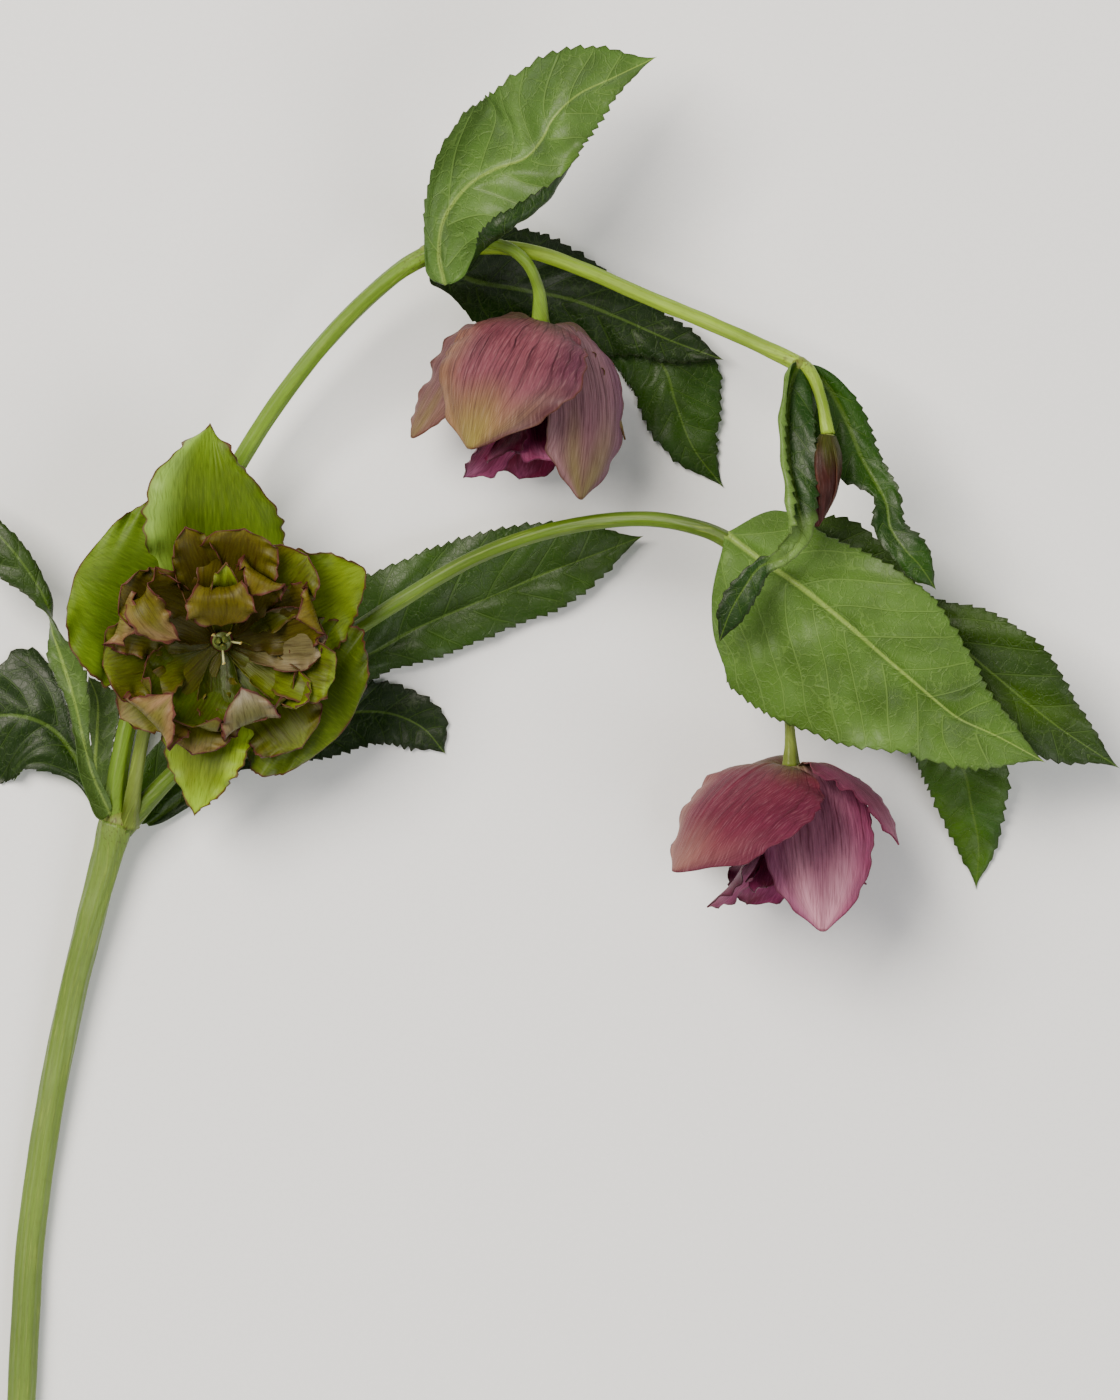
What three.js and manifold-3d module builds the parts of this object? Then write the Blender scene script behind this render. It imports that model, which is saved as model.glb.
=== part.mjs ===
// A cut stem of a double-flowered hellebore, lying on a flat surface.
//
// Millimetres, +Z up. The surface is z = 0. The origin is on the surface, in the middle of the whole
// spray's footprint. +Y runs up the stem, and +X to the side that its branches lean to.
//
// The stem forks once, among five leaves. One branch runs on behind the open green flower to a whorl
// of three leaves, a nodding mauve flower and, further out, a bud between two narrow leaves. The other
// branch arches over to a whorl of three leaves and a nodding pink flower.
import * as THREE from "three";
import { mergeVertices } from "three/addons/utils/BufferGeometryUtils.js";
import Module from "manifold-3d";

const wasm = await Module();
wasm.setup();

// ---------- driving dimensions ----------
// Places are given from the corner of a 250 x 310 mm bench; the whole is moved to its origin at the end.
const CLEARANCE = 0.3; // between a piece and the one that it grows out of
const LEAF_THICKNESS = 0.7;
const PETAL_THICKNESS = 0.65;
const TOOTH = 1.1; // length of a leaf's teeth
const ANTHER = [0.6, 1.1]; // half width, half length
const FILAMENT_RADIUS = 0.32;
const BUD_LENGTH = 20;

// Where the stalks divide.
const FORK = [26.4, 126.9, 8.2];
const TOP_NODE = [94.6, 250.8, 27.8];
const RIGHT_NODE = [162.4, 187, 29.4];
const BUD_NODE = [175.3, 226.6, 30.8];

// Where each flower sits on its stalk, the way its mouth looks, and where its azimuths count from:
// anticlockwise for someone who looks into the mouth.
const FLOWERS = {
  green: { seat: [49.5, 167.2, 22.4], axis: [0.03, -0.08, 1], zero: [1, 0, 0] },
  mauve: { seat: [119, 235.4, 21], axis: [-0.05, -1, 0.06], zero: [1, 0, 0] },
  pink: { seat: [173.6, 139, 21.6], axis: [0.02, -1, 0.04], zero: [1, 0, 0] },
  bud: { seat: [181.3, 211.6, 38], axis: [-0.13, -1, 0.03], zero: [1, 0, 0] },
};

// ---------- small helpers ----------
const vec = (p) => new THREE.Vector3(...p);
const rad = THREE.MathUtils.degToRad;

// The value at t of a smooth line through evenly spaced values, or the number itself.
function track(values, t) {
  if (typeof values === "number") return values;
  const last = values.length - 1;
  const s = Math.min(t * last, last - 1e-9);
  const i = Math.floor(s);
  const f = s - i;
  const at = (k) =>
    k < 0 ? 2 * values[0] - values[1] : k > last ? 2 * values[last] - values[last - 1] : values[k];
  const [a, b, c, d] = [at(i - 1), at(i), at(i + 1), at(i + 2)];
  return b + 0.5 * f * (c - a + f * (2 * a - 5 * b + 4 * c - d + f * (3 * (b - c) + d - a)));
}

const line = (points) => new THREE.CatmullRomCurve3(points.map(vec), false, "catmullrom", 0.5);

// A repeatable random number in 0..1 for each call.
function dice(seed) {
  let state = seed;
  return () => {
    state = (state * 1664525 + 1013904223) % 4294967296;
    return state / 4294967296;
  };
}

// A closed geometry as a solid that can be joined and cut, and back.
function solidOf(geometry) {
  const bare = new THREE.BufferGeometry().setAttribute("position", geometry.getAttribute("position"));
  if (geometry.index) bare.setIndex(geometry.index);
  const merged = mergeVertices(bare, 1e-4);
  return new wasm.Manifold(
    new wasm.Mesh({
      numProp: 3,
      vertProperties: new Float32Array(merged.attributes.position.array),
      triVerts: new Uint32Array(merged.index.array),
    }),
  );
}

function geometryOf(solid) {
  const mesh = solid.getMesh();
  const position = new Float32Array(mesh.numVert * 3);
  for (let i = 0; i < mesh.numVert; i++)
    position.set(mesh.vertProperties.subarray(i * mesh.numProp, i * mesh.numProp + 3), i * 3);
  const geometry = new THREE.BufferGeometry();
  geometry.setAttribute("position", new THREE.BufferAttribute(position, 3));
  geometry.setIndex(new THREE.BufferAttribute(new Uint32Array(mesh.triVerts), 1));
  geometry.computeVertexNormals();
  return geometry;
}

function indexed(position, index) {
  const geometry = new THREE.BufferGeometry();
  geometry.setAttribute("position", new THREE.Float32BufferAttribute(position, 3));
  geometry.setIndex(index);
  return geometry;
}

const union = (solids) => solids.reduce((a, b) => a.add(b));
const largest = (solid) => solid.decompose().reduce((a, b) => (b.volume() > a.volume() ? b : a));

// ---------- blades: leaves, sepals and petals ----------
// A blade is a surface along a rib. Its lists hold values for evenly spaced places from base to tip:
//   rib             points
//   face            directions that its front looks in
//   left, right     half widths, seen from the front with the tip up, measured along the surface
//   fold            degrees that both halves rise from the rib
//   cupLeft/Right   degrees that each half bends to the front, evenly over its width
//   rollLeft/Right  degrees more that its outer part rolls to the front
//   wave            [height, count, phase] of the waves of its margins
//   teeth           whether its margins are toothed
const ROLL_STARTS = 0.62; // share of a half's width
const STEPS = 24; // in the sum that bends a section
const OUT_OF_STEP = 0.37; // of a wave, between a blade's two margins
const NARROWEST = 0.4; // half width of a blade's end

// Places across one half, at shares of its width from 0 to 1: [sideways from the rib, to the front].
function section(width, fold, cup, roll, shares) {
  const out = [];
  let side = 0;
  let front = 0;
  for (let i = 0; i <= STEPS; i++) {
    while (out.length < shares.length && shares[out.length] <= i / STEPS + 1e-9)
      out.push([side * width, front * width]);
    const s = (i + 0.5) / STEPS;
    const r = THREE.MathUtils.smoothstep(s, ROLL_STARTS, 1);
    const angle = rad(fold + cup * s + roll * r);
    side += Math.cos(angle) / STEPS;
    front += Math.sin(angle) / STEPS;
  }
  return out;
}

// The blade's middle surface, { points, triangles }, let out by `grow` at its margins.
function bladeSurface(blade, rows, shares, grow = 0) {
  const curve = line(blade.rib);
  const [waveHeight, waveCount, wavePhase] = blade.wave ?? [0, 0, 0];
  const half = shares.length - 1;
  const columns = 2 * half + 1;
  const points = [];
  for (let i = 0; i < rows; i++) {
    const u = 1 - (1 - i / rows) ** (blade.teeth ? 1.1 : 1.4); // closer rows near a round tip
    const at = curve.getPoint(u);
    const along = curve.getTangent(u);
    const face = vec([0, 1, 2].map((k) => track(blade.face.map((f) => f[k]), u)));
    const front = face.addScaledVector(along, -face.dot(along)).normalize();
    const right = new THREE.Vector3().crossVectors(along, front);
    const row = new Array(columns);
    for (const side of [-1, 1]) {
      const of = (left, other) => track((side < 0 ? left : other) ?? 0, u);
      const width = Math.max(of(blade.left, blade.right), NARROWEST) + grow;
      const swell = Math.sin(Math.PI * Math.min(1.15 * u, 1)); // no waves at the base
      const phase = waveCount * u + wavePhase + (side < 0 ? 0 : OUT_OF_STEP);
      const wave = waveHeight * swell * Math.sin(2 * Math.PI * phase);
      const fold = track(blade.fold ?? 0, u);
      const cup = of(blade.cupLeft, blade.cupRight);
      const roll = of(blade.rollLeft, blade.rollRight);
      section(width, fold, cup, roll, shares).forEach(([s, f], j) => {
        row[half + side * j] = at
          .clone()
          .addScaledVector(right, side * s)
          .addScaledVector(front, f + wave * shares[j] ** 2);
      });
    }
    points.push(...row);
  }
  points.push(curve.getPoint(1).addScaledVector(curve.getTangent(1), grow));
  const triangles = [];
  const id = (i, j) => i * columns + j;
  for (let i = 0; i < rows - 1; i++)
    for (let j = 0; j < columns - 1; j++) {
      const [a, b, c, d] = [id(i, j), id(i, j + 1), id(i + 1, j + 1), id(i + 1, j)];
      triangles.push(...(j < half ? [[a, b, c], [a, c, d]] : [[a, b, d], [b, c, d]]));
    }
  for (let j = 0; j < columns - 1; j++)
    triangles.push([id(rows - 1, j), id(rows - 1, j + 1), rows * columns]);
  if (blade.teeth) addTeeth(points, triangles, rows, columns, grow);
  return { points, triangles };
}

// A tooth that points forward on each step of both margins, except on the stalk end of the leaf.
function addTeeth(points, triangles, rows, columns, grow) {
  for (let i = 2; i < rows - 1; i++)
    for (const [j, inner] of [[0, 1], [columns - 1, columns - 2]]) {
      const [p, q] = [i * columns + j, (i + 1) * columns + j];
      const out = points[p].clone().sub(points[i * columns + inner]).normalize();
      const size = Math.min(TOOTH, 0.4 * points[p].distanceTo(points[q])) + grow;
      points.push(points[p].clone().lerp(points[q], 0.75).addScaledVector(out, size));
      const t = points.length - 1;
      triangles.push(j === 0 ? [p, q, t] : [p, t, q]);
    }
}

// A surface given a thickness. Both faces are split into triangles alike.
function thicken({ points, triangles }, thickness) {
  const normals = points.map(() => new THREE.Vector3());
  for (const [a, b, c] of triangles) {
    const n = points[b].clone().sub(points[a]).cross(points[c].clone().sub(points[a]));
    for (const k of [a, b, c]) normals[k].add(n);
  }
  const position = [];
  for (const side of [0.5, -0.5])
    points.forEach((p, k) => {
      position.push(...p.clone().addScaledVector(normals[k].normalize(), side * thickness));
    });
  const count = points.length;
  const index = [];
  const edges = new Set();
  for (const [a, b, c] of triangles) {
    index.push(a, b, c, count + a, count + c, count + b);
    for (const [p, q] of [[a, b], [b, c], [c, a]]) edges.add(p + "," + q);
  }
  for (const edge of edges) {
    const [p, q] = edge.split(",").map(Number);
    if (!edges.has(q + "," + p)) index.push(q, p, count + p, q, count + p, count + q);
  }
  return indexed(position, index);
}

const bladeSolid = (blade, rows, shares, thickness, grow) =>
  solidOf(thicken(bladeSurface(blade, rows, shares, grow), thickness + 2 * grow));

// ---------- stalks ----------
// A closed tube along a smooth line, with its own radius at each place.
function stalk({ points, radii, sides, steps }, grow = 0) {
  const curve = line(points);
  const frames = curve.computeFrenetFrames(steps, false);
  const position = [];
  const index = [];
  for (let i = 0; i <= steps; i++) {
    const u = curve.getUtoTmapping(i / steps);
    const past = i === 0 ? -grow : i === steps ? grow : 0;
    const centre = curve.getPoint(u).addScaledVector(curve.getTangent(u), past);
    const r = track(radii, u) + grow;
    for (let j = 0; j < sides; j++) {
      const a = (2 * Math.PI * (j + 0.5)) / sides;
      const point = centre
        .clone()
        .addScaledVector(frames.normals[i], r * Math.cos(a))
        .addScaledVector(frames.binormals[i], r * Math.sin(a));
      position.push(...point);
    }
  }
  tubeFaces(index, steps, sides);
  return solidOf(indexed(position, index));
}

// Faces of a tube of `steps` + 1 rings, closed at both ends.
function tubeFaces(index, steps, sides) {
  for (let i = 0; i < steps; i++)
    for (let j = 0; j < sides; j++) {
      const [p, q] = [i * sides + j, i * sides + ((j + 1) % sides)];
      index.push(p, q, q + sides, p, q + sides, p + sides);
    }
  const last = steps * sides;
  for (let j = 1; j < sides - 1; j++) index.push(0, j + 1, j, last, last + j, last + j + 1);
}

function ball(centre, size, grow = 0) {
  const geometry = new THREE.SphereGeometry(1, 8, 5);
  geometry.scale(...size.map((s) => s + grow));
  geometry.translate(...centre);
  return solidOf(geometry);
}

// The main stem, its branches and the flowers' stalks grow as one piece.
const STALKS = {
  main: {
    points: [
      [3.7, -38.5, 2.8], [3.7, -26.4, 2.8], [4, -13.2, 2.8], [4.8, 0, 2.8], [5.7, 17.6, 2.8],
      [7, 36.3, 2.8], [9.5, 55, 3.2], [12.8, 73.7, 4], [16.5, 91.3, 5], [20.2, 106, 6], [23.5, 118.4, 7.2],
      [26, 127.2, 8.2],
    ],
    radii: [3.2, 3.1, 3.1, 3.1, 3.1, 3.05, 3.0, 3.0, 3.0, 3.1, 3.3, 3.9],
    sides: 7,
    steps: 16,
  },
  toTop: {
    points: [
      [25.1, 125.4, 8], [26.8, 140.8, 9.4], [31.2, 158.4, 10], [39.2, 178.2, 10.6], [49.5, 199.8, 12.6],
      [61.4, 218.9, 16], [74.1, 234.5, 20.5], [85.8, 245.5, 25], [93.9, 250.6, 28], [98.6, 251.7, 28.6],
    ],
    radii: [2.6, 2.1, 1.95, 1.9, 1.9, 1.9, 1.85, 1.85, 2.0, 1.2],
    sides: 6,
    steps: 14,
  },
  toRight: {
    points: [
      [27.3, 125.8, 8.4], [39.6, 139, 11.4], [55, 152.7, 14.4], [72.2, 165, 17], [88.9, 176, 19.4],
      [105.6, 185.5, 21.6], [123.2, 191.4, 23.6], [140.8, 193.4, 26.6], [154, 191.2, 29],
      [162.1, 187.2, 30], [165.4, 184.8, 29.6],
    ],
    radii: [2.4, 1.8, 1.7, 1.65, 1.65, 1.65, 1.65, 1.65, 1.7, 1.9, 1.2],
    sides: 6,
    steps: 15,
  },
  toGreen: {
    points: [
      [28.8, 126.3, 9.6], [30.4, 137.5, 14], [33, 149.2, 17.6], [38.5, 158.4, 19.6], [45.5, 164.6, 20.6],
      [49.5, 167, 22.6],
    ],
    radii: [2.2, 1.55, 1.45, 1.4, 1.6, 2.1],
    sides: 6,
    steps: 8,
  },
  toMauve: {
    points: [
      [95, 250.8, 28], [103, 253.4, 29.6], [110, 253, 30], [115.3, 249.9, 28.6], [118.4, 243.8, 24.8],
      [119, 235.8, 21],
    ],
    radii: [1.7, 1.4, 1.3, 1.25, 1.25, 2.0],
    sides: 6,
    steps: 9,
  },
  toBud: {
    points: [
      [95.5, 250.4, 27.4], [105.6, 252.6, 26.4], [116.6, 251.7, 26.2], [128.7, 247.5, 26.6],
      [140.8, 242.2, 27.2], [154, 236.7, 28], [165.4, 231.7, 29], [174.9, 227, 30.4], [178, 224.4, 33.4],
      [180, 218.7, 36.4], [181.3, 211.6, 38],
    ],
    radii: [1.7, 1.6, 1.6, 1.6, 1.6, 1.6, 1.6, 1.8, 1.4, 1.2, 1.5],
    sides: 6,
    steps: 14,
  },
  toPink: {
    points: [
      [162.1, 187.2, 28.6], [166.5, 179.3, 27.4], [170.5, 167.2, 26], [172.7, 155.1, 23.8],
      [173.4, 146.3, 22.2], [173.6, 139.5, 21.6],
    ],
    radii: [1.6, 1.3, 1.2, 1.1, 1.15, 2.0],
    sides: 6,
    steps: 8,
  },
};

// The stem is cut off on a slant at its lower end.
const KNIFE = new THREE.BoxGeometry(20, 20, 20).rotateX(rad(-22)).translate(3.7, -45.6, 4);

function stemSolid(grow) {
  return union([
    ...Object.values(STALKS).map((s) => stalk(s, grow)),
    ball(FORK, [4.4, 3.6, 3.4], grow),
    ball(TOP_NODE, [2.6, 2.4, 2.2], grow),
    ball(RIGHT_NODE, [2.6, 2.4, 2.2], grow),
    ball(BUD_NODE, [2.2, 2, 1.9], grow),
  ]).subtract(solidOf(KNIFE));
}

// ---------- leaves ----------
const LEAF_SHARES = [0, 0.58, 1]; // of each half's width, where its lines of points run
const LEAVES = {
  leaf_fork_twisted: {
    rib: [
      [24.4, 128.9, 10.4], [20.5, 138.2, 15], [18.7, 146.3, 17], [17.2, 154, 18.5], [14.5, 162.8, 19],
      [12.5, 170.3, 19], [10.1, 177.3, 18.5], [4.4, 185.7, 18], [-2.6, 193.2, 17], [-12.1, 201.1, 14],
    ],
    face: [
      [0.5, -0.2, 1], [0.4, 0, 1], [0.2, 0, 1], [0, 0, 1], [-0.2, 0.1, 1], [-1, 0.2, 0.1], [-0.3, 0.2, -1],
      [0, 0, -1], [0, 0, -1], [0, 0, -1],
    ],
    left: [6.2, 4.7, 2.2, 1.8, 3, 2.4, 1.9, 2.6, 2, 0],
    right: [1.8, 1.5, 1.8, 3.4, 4, 2.4, 2.6, 6.2, 5.2, 0],
    fold: [30, 30, 24, 16, 12, 0, 6, 6, 4, 0],
    cupLeft: [20, 20, 10, 0, 0, 0, 10, 10, 0, 0],
    wave: [0.45, 2, 0],
    teeth: true,
    rows: 13,
    shows: "underside",
  },
  leaf_fork_broad: {
    rib: [
      [24, 128.6, 5.6], [17.6, 139.9, 4], [11.9, 147.4, 3.6], [4.4, 150.5, 3.4], [-4.8, 150, 2.8],
      [-15.4, 147.8, 1.4], [-25.3, 144.8, -0.1],
    ],
    face: [[0.1, 0.1, 1], [0.1, 0.1, 1], [0, 0, 1], [0, 0, 1], [0, 0, 1], [0, 0, 1], [0, 0, 1]],
    left: [2, 3, 9.1, 12.9, 13.9, 14.6, 14, 9.9, 0],
    right: [2, 4.5, 2.1, 7.1, 14.9, 7.3, 6.1, 3.8, 0],
    fold: [12, 8, 4, -4, -6, -4, 0],
    cupLeft: -8,
    cupRight: -8,
    wave: [0.9, 2.2, 0.3],
    teeth: true,
    rows: 12,
    shows: "upper",
  },
  leaf_fork_back: {
    rib: [[22.2, 129.4, 7.4], [21.3, 138.6, 8.6], [21.8, 147.4, 9], [21.8, 154, 9], [19.8, 159.3, 8.6]],
    face: [[0, 0, 1], [0, 0, 1], [0, 0, 1], [0, 0, 1], [0, 0, 1]],
    left: [0.8, 0.8, 1.2, 2.2, 2.2, 0],
    right: [3.7, 3.7, 3.6, 4.4, 3.4, 0],
    fold: [24, 20, 10, 6, 0],
    wave: [0.3, 1, 0.2],
    teeth: true,
    rows: 8,
    shows: "underside",
  },
  leaf_fork_long: {
    rib: [
      [31.2, 126.9, 5], [36.3, 134.2, 4.6], [45.8, 143.2, 4.2], [57.9, 152, 4], [70.4, 158.8, 3.8],
      [81.8, 164.3, 3.6], [92.8, 170.3, 3.6], [106.3, 176, 3.6], [119.7, 181.7, 4], [130.2, 185.7, 4.2],
      [141.7, 190.1, 4],
    ],
    face: [
      [0, 0.1, 1], [0, 0.1, 1], [0, 0, 1], [0, 0, 1], [0, 0, 1], [0, -0.05, 1], [0, -0.1, 1], [0, -0.1, 1],
      [0, -0.1, 1], [0, -0.05, 1], [0, 0, 1],
    ],
    left: [2.9, 7.5, 8.8, 10.9, 13.7, 15.3, 14.9, 14.4, 11.6, 7.4, 0],
    right: [1.8, 3.2, 5.6, 7.9, 6.6, 5, 7.5, 7.7, 8, 5.1, 0],
    fold: [16, 18, 18, 18, 18, 18, 18, 16, 14, 10, 0],
    cupLeft: [-10, -14, -22, -26, -26, -26, -26, -24, -20, -10, 0],
    cupRight: [-20, -24, -26, -28, -28, -28, -28, -26, -20, -10, 0],
    wave: [0.55, 2.6, 0.1],
    teeth: true,
    rows: 15,
    shows: "upper",
  },
  leaf_fork_dark: {
    rib: [
      [32.6, 126.7, 3.4], [44.4, 135.5, 1.6], [57.2, 144.8, 1.1], [70.4, 150, 1.1], [83.2, 151.4, 1.2],
      [92.4, 148.3, 1.2], [98.1, 142.1, 0.7],
    ],
    face: [[0, 0, 1], [0, 0, 1], [0, 0, 1], [0, 0, 1], [0, 0, 1], [0, 0, 1], [0, 0, 1]],
    left: [1.6, 4, 9.4, 9.3, 8.2, 6.5, 6.1, 5, 0],
    right: [1.5, 2.5, 2.7, 6.8, 8.6, 7.2, 6.2, 4.7, 0],
    fold: [6, 2, 0, 0, 0, 0, 0],
    cupLeft: 4,
    cupRight: 4,
    wave: [0.35, 2, 0.6],
    teeth: true,
    rows: 11,
    shows: "upper",
  },
  leaf_top_front: {
    rib: [
      [98.1, 244.2, 29.4], [96.8, 251.2, 30.5], [98.1, 258.7, 32.4], [103.2, 265.5, 34.6],
      [109.1, 269.1, 36], [115.7, 271.5, 36.6], [119.2, 275.4, 37], [121.9, 280.3, 37],
      [127.2, 285.3, 36.4], [134.6, 288.9, 35], [144.3, 293.7, 32],
    ],
    face: [
      [0.1, 0, 1], [0.1, 0, 1], [0.05, 0.05, 1], [0, 0, 1], [0, 0, 1], [0, 0, 1], [0, 0, 1], [0, 0, 1],
      [0, 0, 1], [0, 0, 1], [0, 0, 1],
    ],
    left: [4.1, 3.3, 4.9, 9.9, 14.5, 15.9, 15, 12.6, 10.4, 7.4, 0],
    right: [2.5, 10.5, 17, 20, 19.4, 14, 9.4, 8.5, 7.5, 3.3, 0],
    fold: [6, 6, 8, 8, 8, 6, 4, 4, 4, 2, 0],
    cupLeft: [10, 20, 30, 34, 30, 24, 18, 12, 6, 0, 0],
    cupRight: [10, 20, 34, 40, 36, 24, 6, -8, -8, -4, 0],
    rollRight: [40, 110, 150, 165, 165, 140, 60, 10, 0, 0, 0],
    wave: [0.8, 2.4, 0.15],
    teeth: true,
    rows: 15,
    shows: "underside",
  },
  leaf_top_dark: {
    rib: [
      [95.9, 249.5, 24.6], [104.3, 245.7, 16], [114.4, 244, 9.6], [125.8, 241.8, 6.4], [136.8, 237.6, 5.6],
      [147.8, 232.8, 5.4], [159.3, 228.6, 5.4],
    ],
    face: [[-0.3, 0, 1], [-0.3, 0, 1], [-0.2, -0.1, 1], [-0.1, 0, 1], [0, 0, 1], [0, 0, 1], [0, 0, 1]],
    left: [6.8, 11.6, 12.7, 12.6, 10, 6.9, 5.2, 3.5, 0],
    right: [5.1, 5.1, 9.9, 11.7, 11.7, 9.8, 5.9, 3.6, 0],
    fold: [6, 0, -4, -6, -6, -4, 0],
    cupLeft: [0, -6, -10, -10, -8, -6, 0],
    cupRight: [0, -6, -10, -10, -8, -6, 0],
    wave: [0.5, 2, 0.4],
    teeth: true,
    rows: 12,
    shows: "upper",
  },
  leaf_top_drooping: {
    rib: [
      [95.5, 248.6, 22.6], [105.2, 242, 10], [116.6, 237.2, 4], [128.7, 234.5, 2.4], [139.9, 232.3, 2.2],
      [146.1, 227, 2.4], [148.7, 219.1, 2.4], [152.5, 209.4, 2], [159.3, 200.6, -0.1],
    ],
    face: [
      [-0.5, 0, 0.9], [-0.4, 0, 0.9], [-0.2, 0, 1], [0, 0, 1], [0, 0, 1], [0, 0, 1], [0, 0, 1], [0, 0, 1],
      [0, 0, 1],
    ],
    left: [3.1, 3, 3.1, 3.4, 3.8, 5, 9, 11, 8.7, 4.6, 0],
    right: [2.2, 2.1, 2.4, 3, 3.3, 7.5, 8.3, 7.8, 6.9, 3.8, 0],
    fold: [4, 4, 4, 2, -2, -4, -4, -4, -2, -2, 0],
    wave: [0.4, 2, 0.1],
    teeth: true,
    rows: 13,
    shows: "upper",
  },
  leaf_right_front: {
    rib: [
      [159.9, 189.6, 32], [166.5, 184.6, 34], [173.4, 180, 35], [179.5, 175.3, 35.6], [185.9, 170.1, 36],
      [192.1, 164.6, 36], [198.9, 158.8, 35.6], [205, 153.6, 35], [210.1, 149.8, 34], [218.2, 146.1, 32.6],
      [228.8, 140.4, 30],
    ],
    face: [
      [-0.1, 0.1, 1], [-0.1, 0.1, 1], [0, 0, 1], [0, 0, 1], [0, 0, 1], [0, 0, 1], [0, 0, 1], [0, 0, 1],
      [0, 0, 1], [0, 0, 1], [0, 0, 1],
    ],
    left: [9.4, 13.5, 12.6, 14.4, 15.9, 16.6, 14.5, 11.8, 9.4, 4.9, 0],
    right: [7.4, 21, 27, 28.1, 26.7, 23.7, 19.6, 13.7, 10.4, 7.6, 0],
    fold: [-4, -6, -6, -6, -4, -4, -2, 0, 0, 0, 0],
    cupLeft: [-30, -24, -16, -10, -6, -4, 0, 2, 2, 0, 0],
    cupRight: [-40, -36, -30, -26, -24, -20, -14, -8, -4, 0, 0],
    wave: [0.7, 2.3, 0.2],
    teeth: true,
    rows: 15,
    shows: "underside",
  },
  leaf_right_far: {
    rib: [
      [163.2, 186.1, 26], [173.4, 184.8, 25], [184.4, 181.7, 24], [195.4, 176, 24], [206.8, 168.5, 25],
      [218.2, 159.1, 25.4], [231, 148.7, 24], [245.5, 139, 20.5],
    ],
    face: [[0, 0.1, 1], [0, 0.1, 1], [0, 0, 1], [0, 0, 1], [0, 0, 1], [0, 0, 1], [0, 0, 1], [0, 0, 1]],
    left: [2.8, 6.9, 11.2, 8.5, 4.8, 10, 11.2, 6, 0],
    right: [2.4, 5.7, 8.9, 10.6, 11.5, 12.6, 12.3, 7.2, 0],
    fold: [8, 6, 4, 4, 4, 4, 2, 0],
    cupLeft: [0, -4, -6, 0, 10, 12, 8, 0],
    cupRight: [0, 0, -4, -8, -8, -8, -4, 0],
    wave: [0.5, 2, 0.5],
    teeth: true,
    rows: 13,
    shows: "upper",
  },
  leaf_right_drooping: {
    rib: [
      [162.8, 185.2, 24.4], [173.8, 176, 20], [186.1, 165.9, 16.4], [198, 155.8, 13], [207.2, 147, 10],
      [211.9, 138.2, 7], [213.6, 130.2, 4.6], [215.2, 121.9, 2.2], [214.7, 112.4, -0.1],
    ],
    face: [
      [-0.1, 0.2, 1], [-0.1, 0.2, 1], [-0.1, 0.2, 1], [0, 0.2, 1], [0, 0.2, 1], [0, 0.15, 1], [0, 0, 1],
      [0, 0, 1], [0, 0, 1],
    ],
    left: [2, 2.9, 4, 5.5, 7.3, 9.8, 9.1, 6.8, 3.5, 0],
    right: [2.2, 3.3, 4, 5.7, 7.6, 8.5, 8.1, 6.4, 4.3, 0],
    fold: [6, 6, 4, 2, -2, -4, -4, -2, -2, 0],
    cupLeft: -6,
    cupRight: -6,
    wave: [0.4, 2, 0.7],
    teeth: true,
    rows: 13,
    shows: "upper",
  },
  leaf_bud_left: {
    rib: [
      [174.9, 227, 32], [173.1, 221.8, 34.6], [172.3, 213.4, 37.6], [172.9, 204.6, 40], [174.5, 196.7, 42],
      [175.3, 190.1, 43], [171.8, 185, 43.6], [166.5, 182.8, 43.6], [163, 178.2, 43], [159.9, 172.7, 42],
      [157.5, 166.1, 40],
    ],
    face: [
      [0.3, 0, 1], [0.3, 0, 1], [0.2, 0, 1], [0.2, 0, 1], [0.2, 0, 1], [0.2, -0.1, 1], [0, -0.2, 1],
      [0, 0, 1], [0, 0, 1], [0, 0, 1], [0, 0, 1],
    ],
    left: [2.7, 4.5, 5.8, 6, 4.9, 3.2, 1.9, 1.7, 2.7, 3.4, 2.9, 0],
    right: [2.2, 4.6, 5, 5.4, 5.4, 5.8, 4, 1.8, 1.9, 2.8, 2.5, 0],
    fold: [20, 24, 24, 24, 20, 14, 6, 4, 4, 4, 4, 0],
    cupRight: [20, 50, 70, 76, 76, 60, 30, 0, 0, 0, 0, 0],
    rollRight: [40, 90, 110, 110, 110, 100, 50, 0, 0, 0, 0, 0],
    wave: [0.2, 2, 0],
    teeth: true,
    rows: 14,
    shows: "upper",
  },
  leaf_bud_right: {
    rib: [
      [176.2, 226.6, 31], [181.3, 222.2, 30.8], [185.5, 214.7, 30.2], [188.5, 207.2, 30.6],
      [191.6, 201.5, 32], [194, 196.7, 34], [194.9, 191.4, 35.8], [198, 186.6, 36.8], [201.3, 183, 37],
      [204.8, 177.8, 36],
    ],
    face: [
      [-0.2, -0.2, 1], [-0.2, 0, 1], [-0.2, 0, 1], [0, 0, 1], [0, 0, 1], [0, 0, 1], [0, 0, 1], [0, 0, 1],
      [0, 0, 1], [0, 0, 1],
    ],
    left: [1.5, 2.8, 4, 4, 3.5, 3.5, 3.1, 3.3, 4.3, 2.7, 0],
    right: [3.1, 7, 9, 9.7, 5, 2, 3.2, 3.3, 3.1, 3.3, 0],
    fold: [14, 12, 8, 6, 8, 10, 12, 6, 4, 2, 0],
    cupLeft: [-20, -36, -36, -24, -10, 0, 0, 0, 0, 0, 0],
    wave: [0.3, 2.6, 0.1],
    teeth: true,
    rows: 13,
    shows: "upper",
  },
};

// ---------- flowers ----------
function frameOf({ seat, axis, zero }) {
  const a = vec(axis).normalize();
  const p = vec(zero).addScaledVector(a, -vec(zero).dot(a)).normalize();
  return new THREE.Matrix4().makeBasis(p, new THREE.Vector3().crossVectors(a, p), a).setPosition(vec(seat));
}

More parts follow.
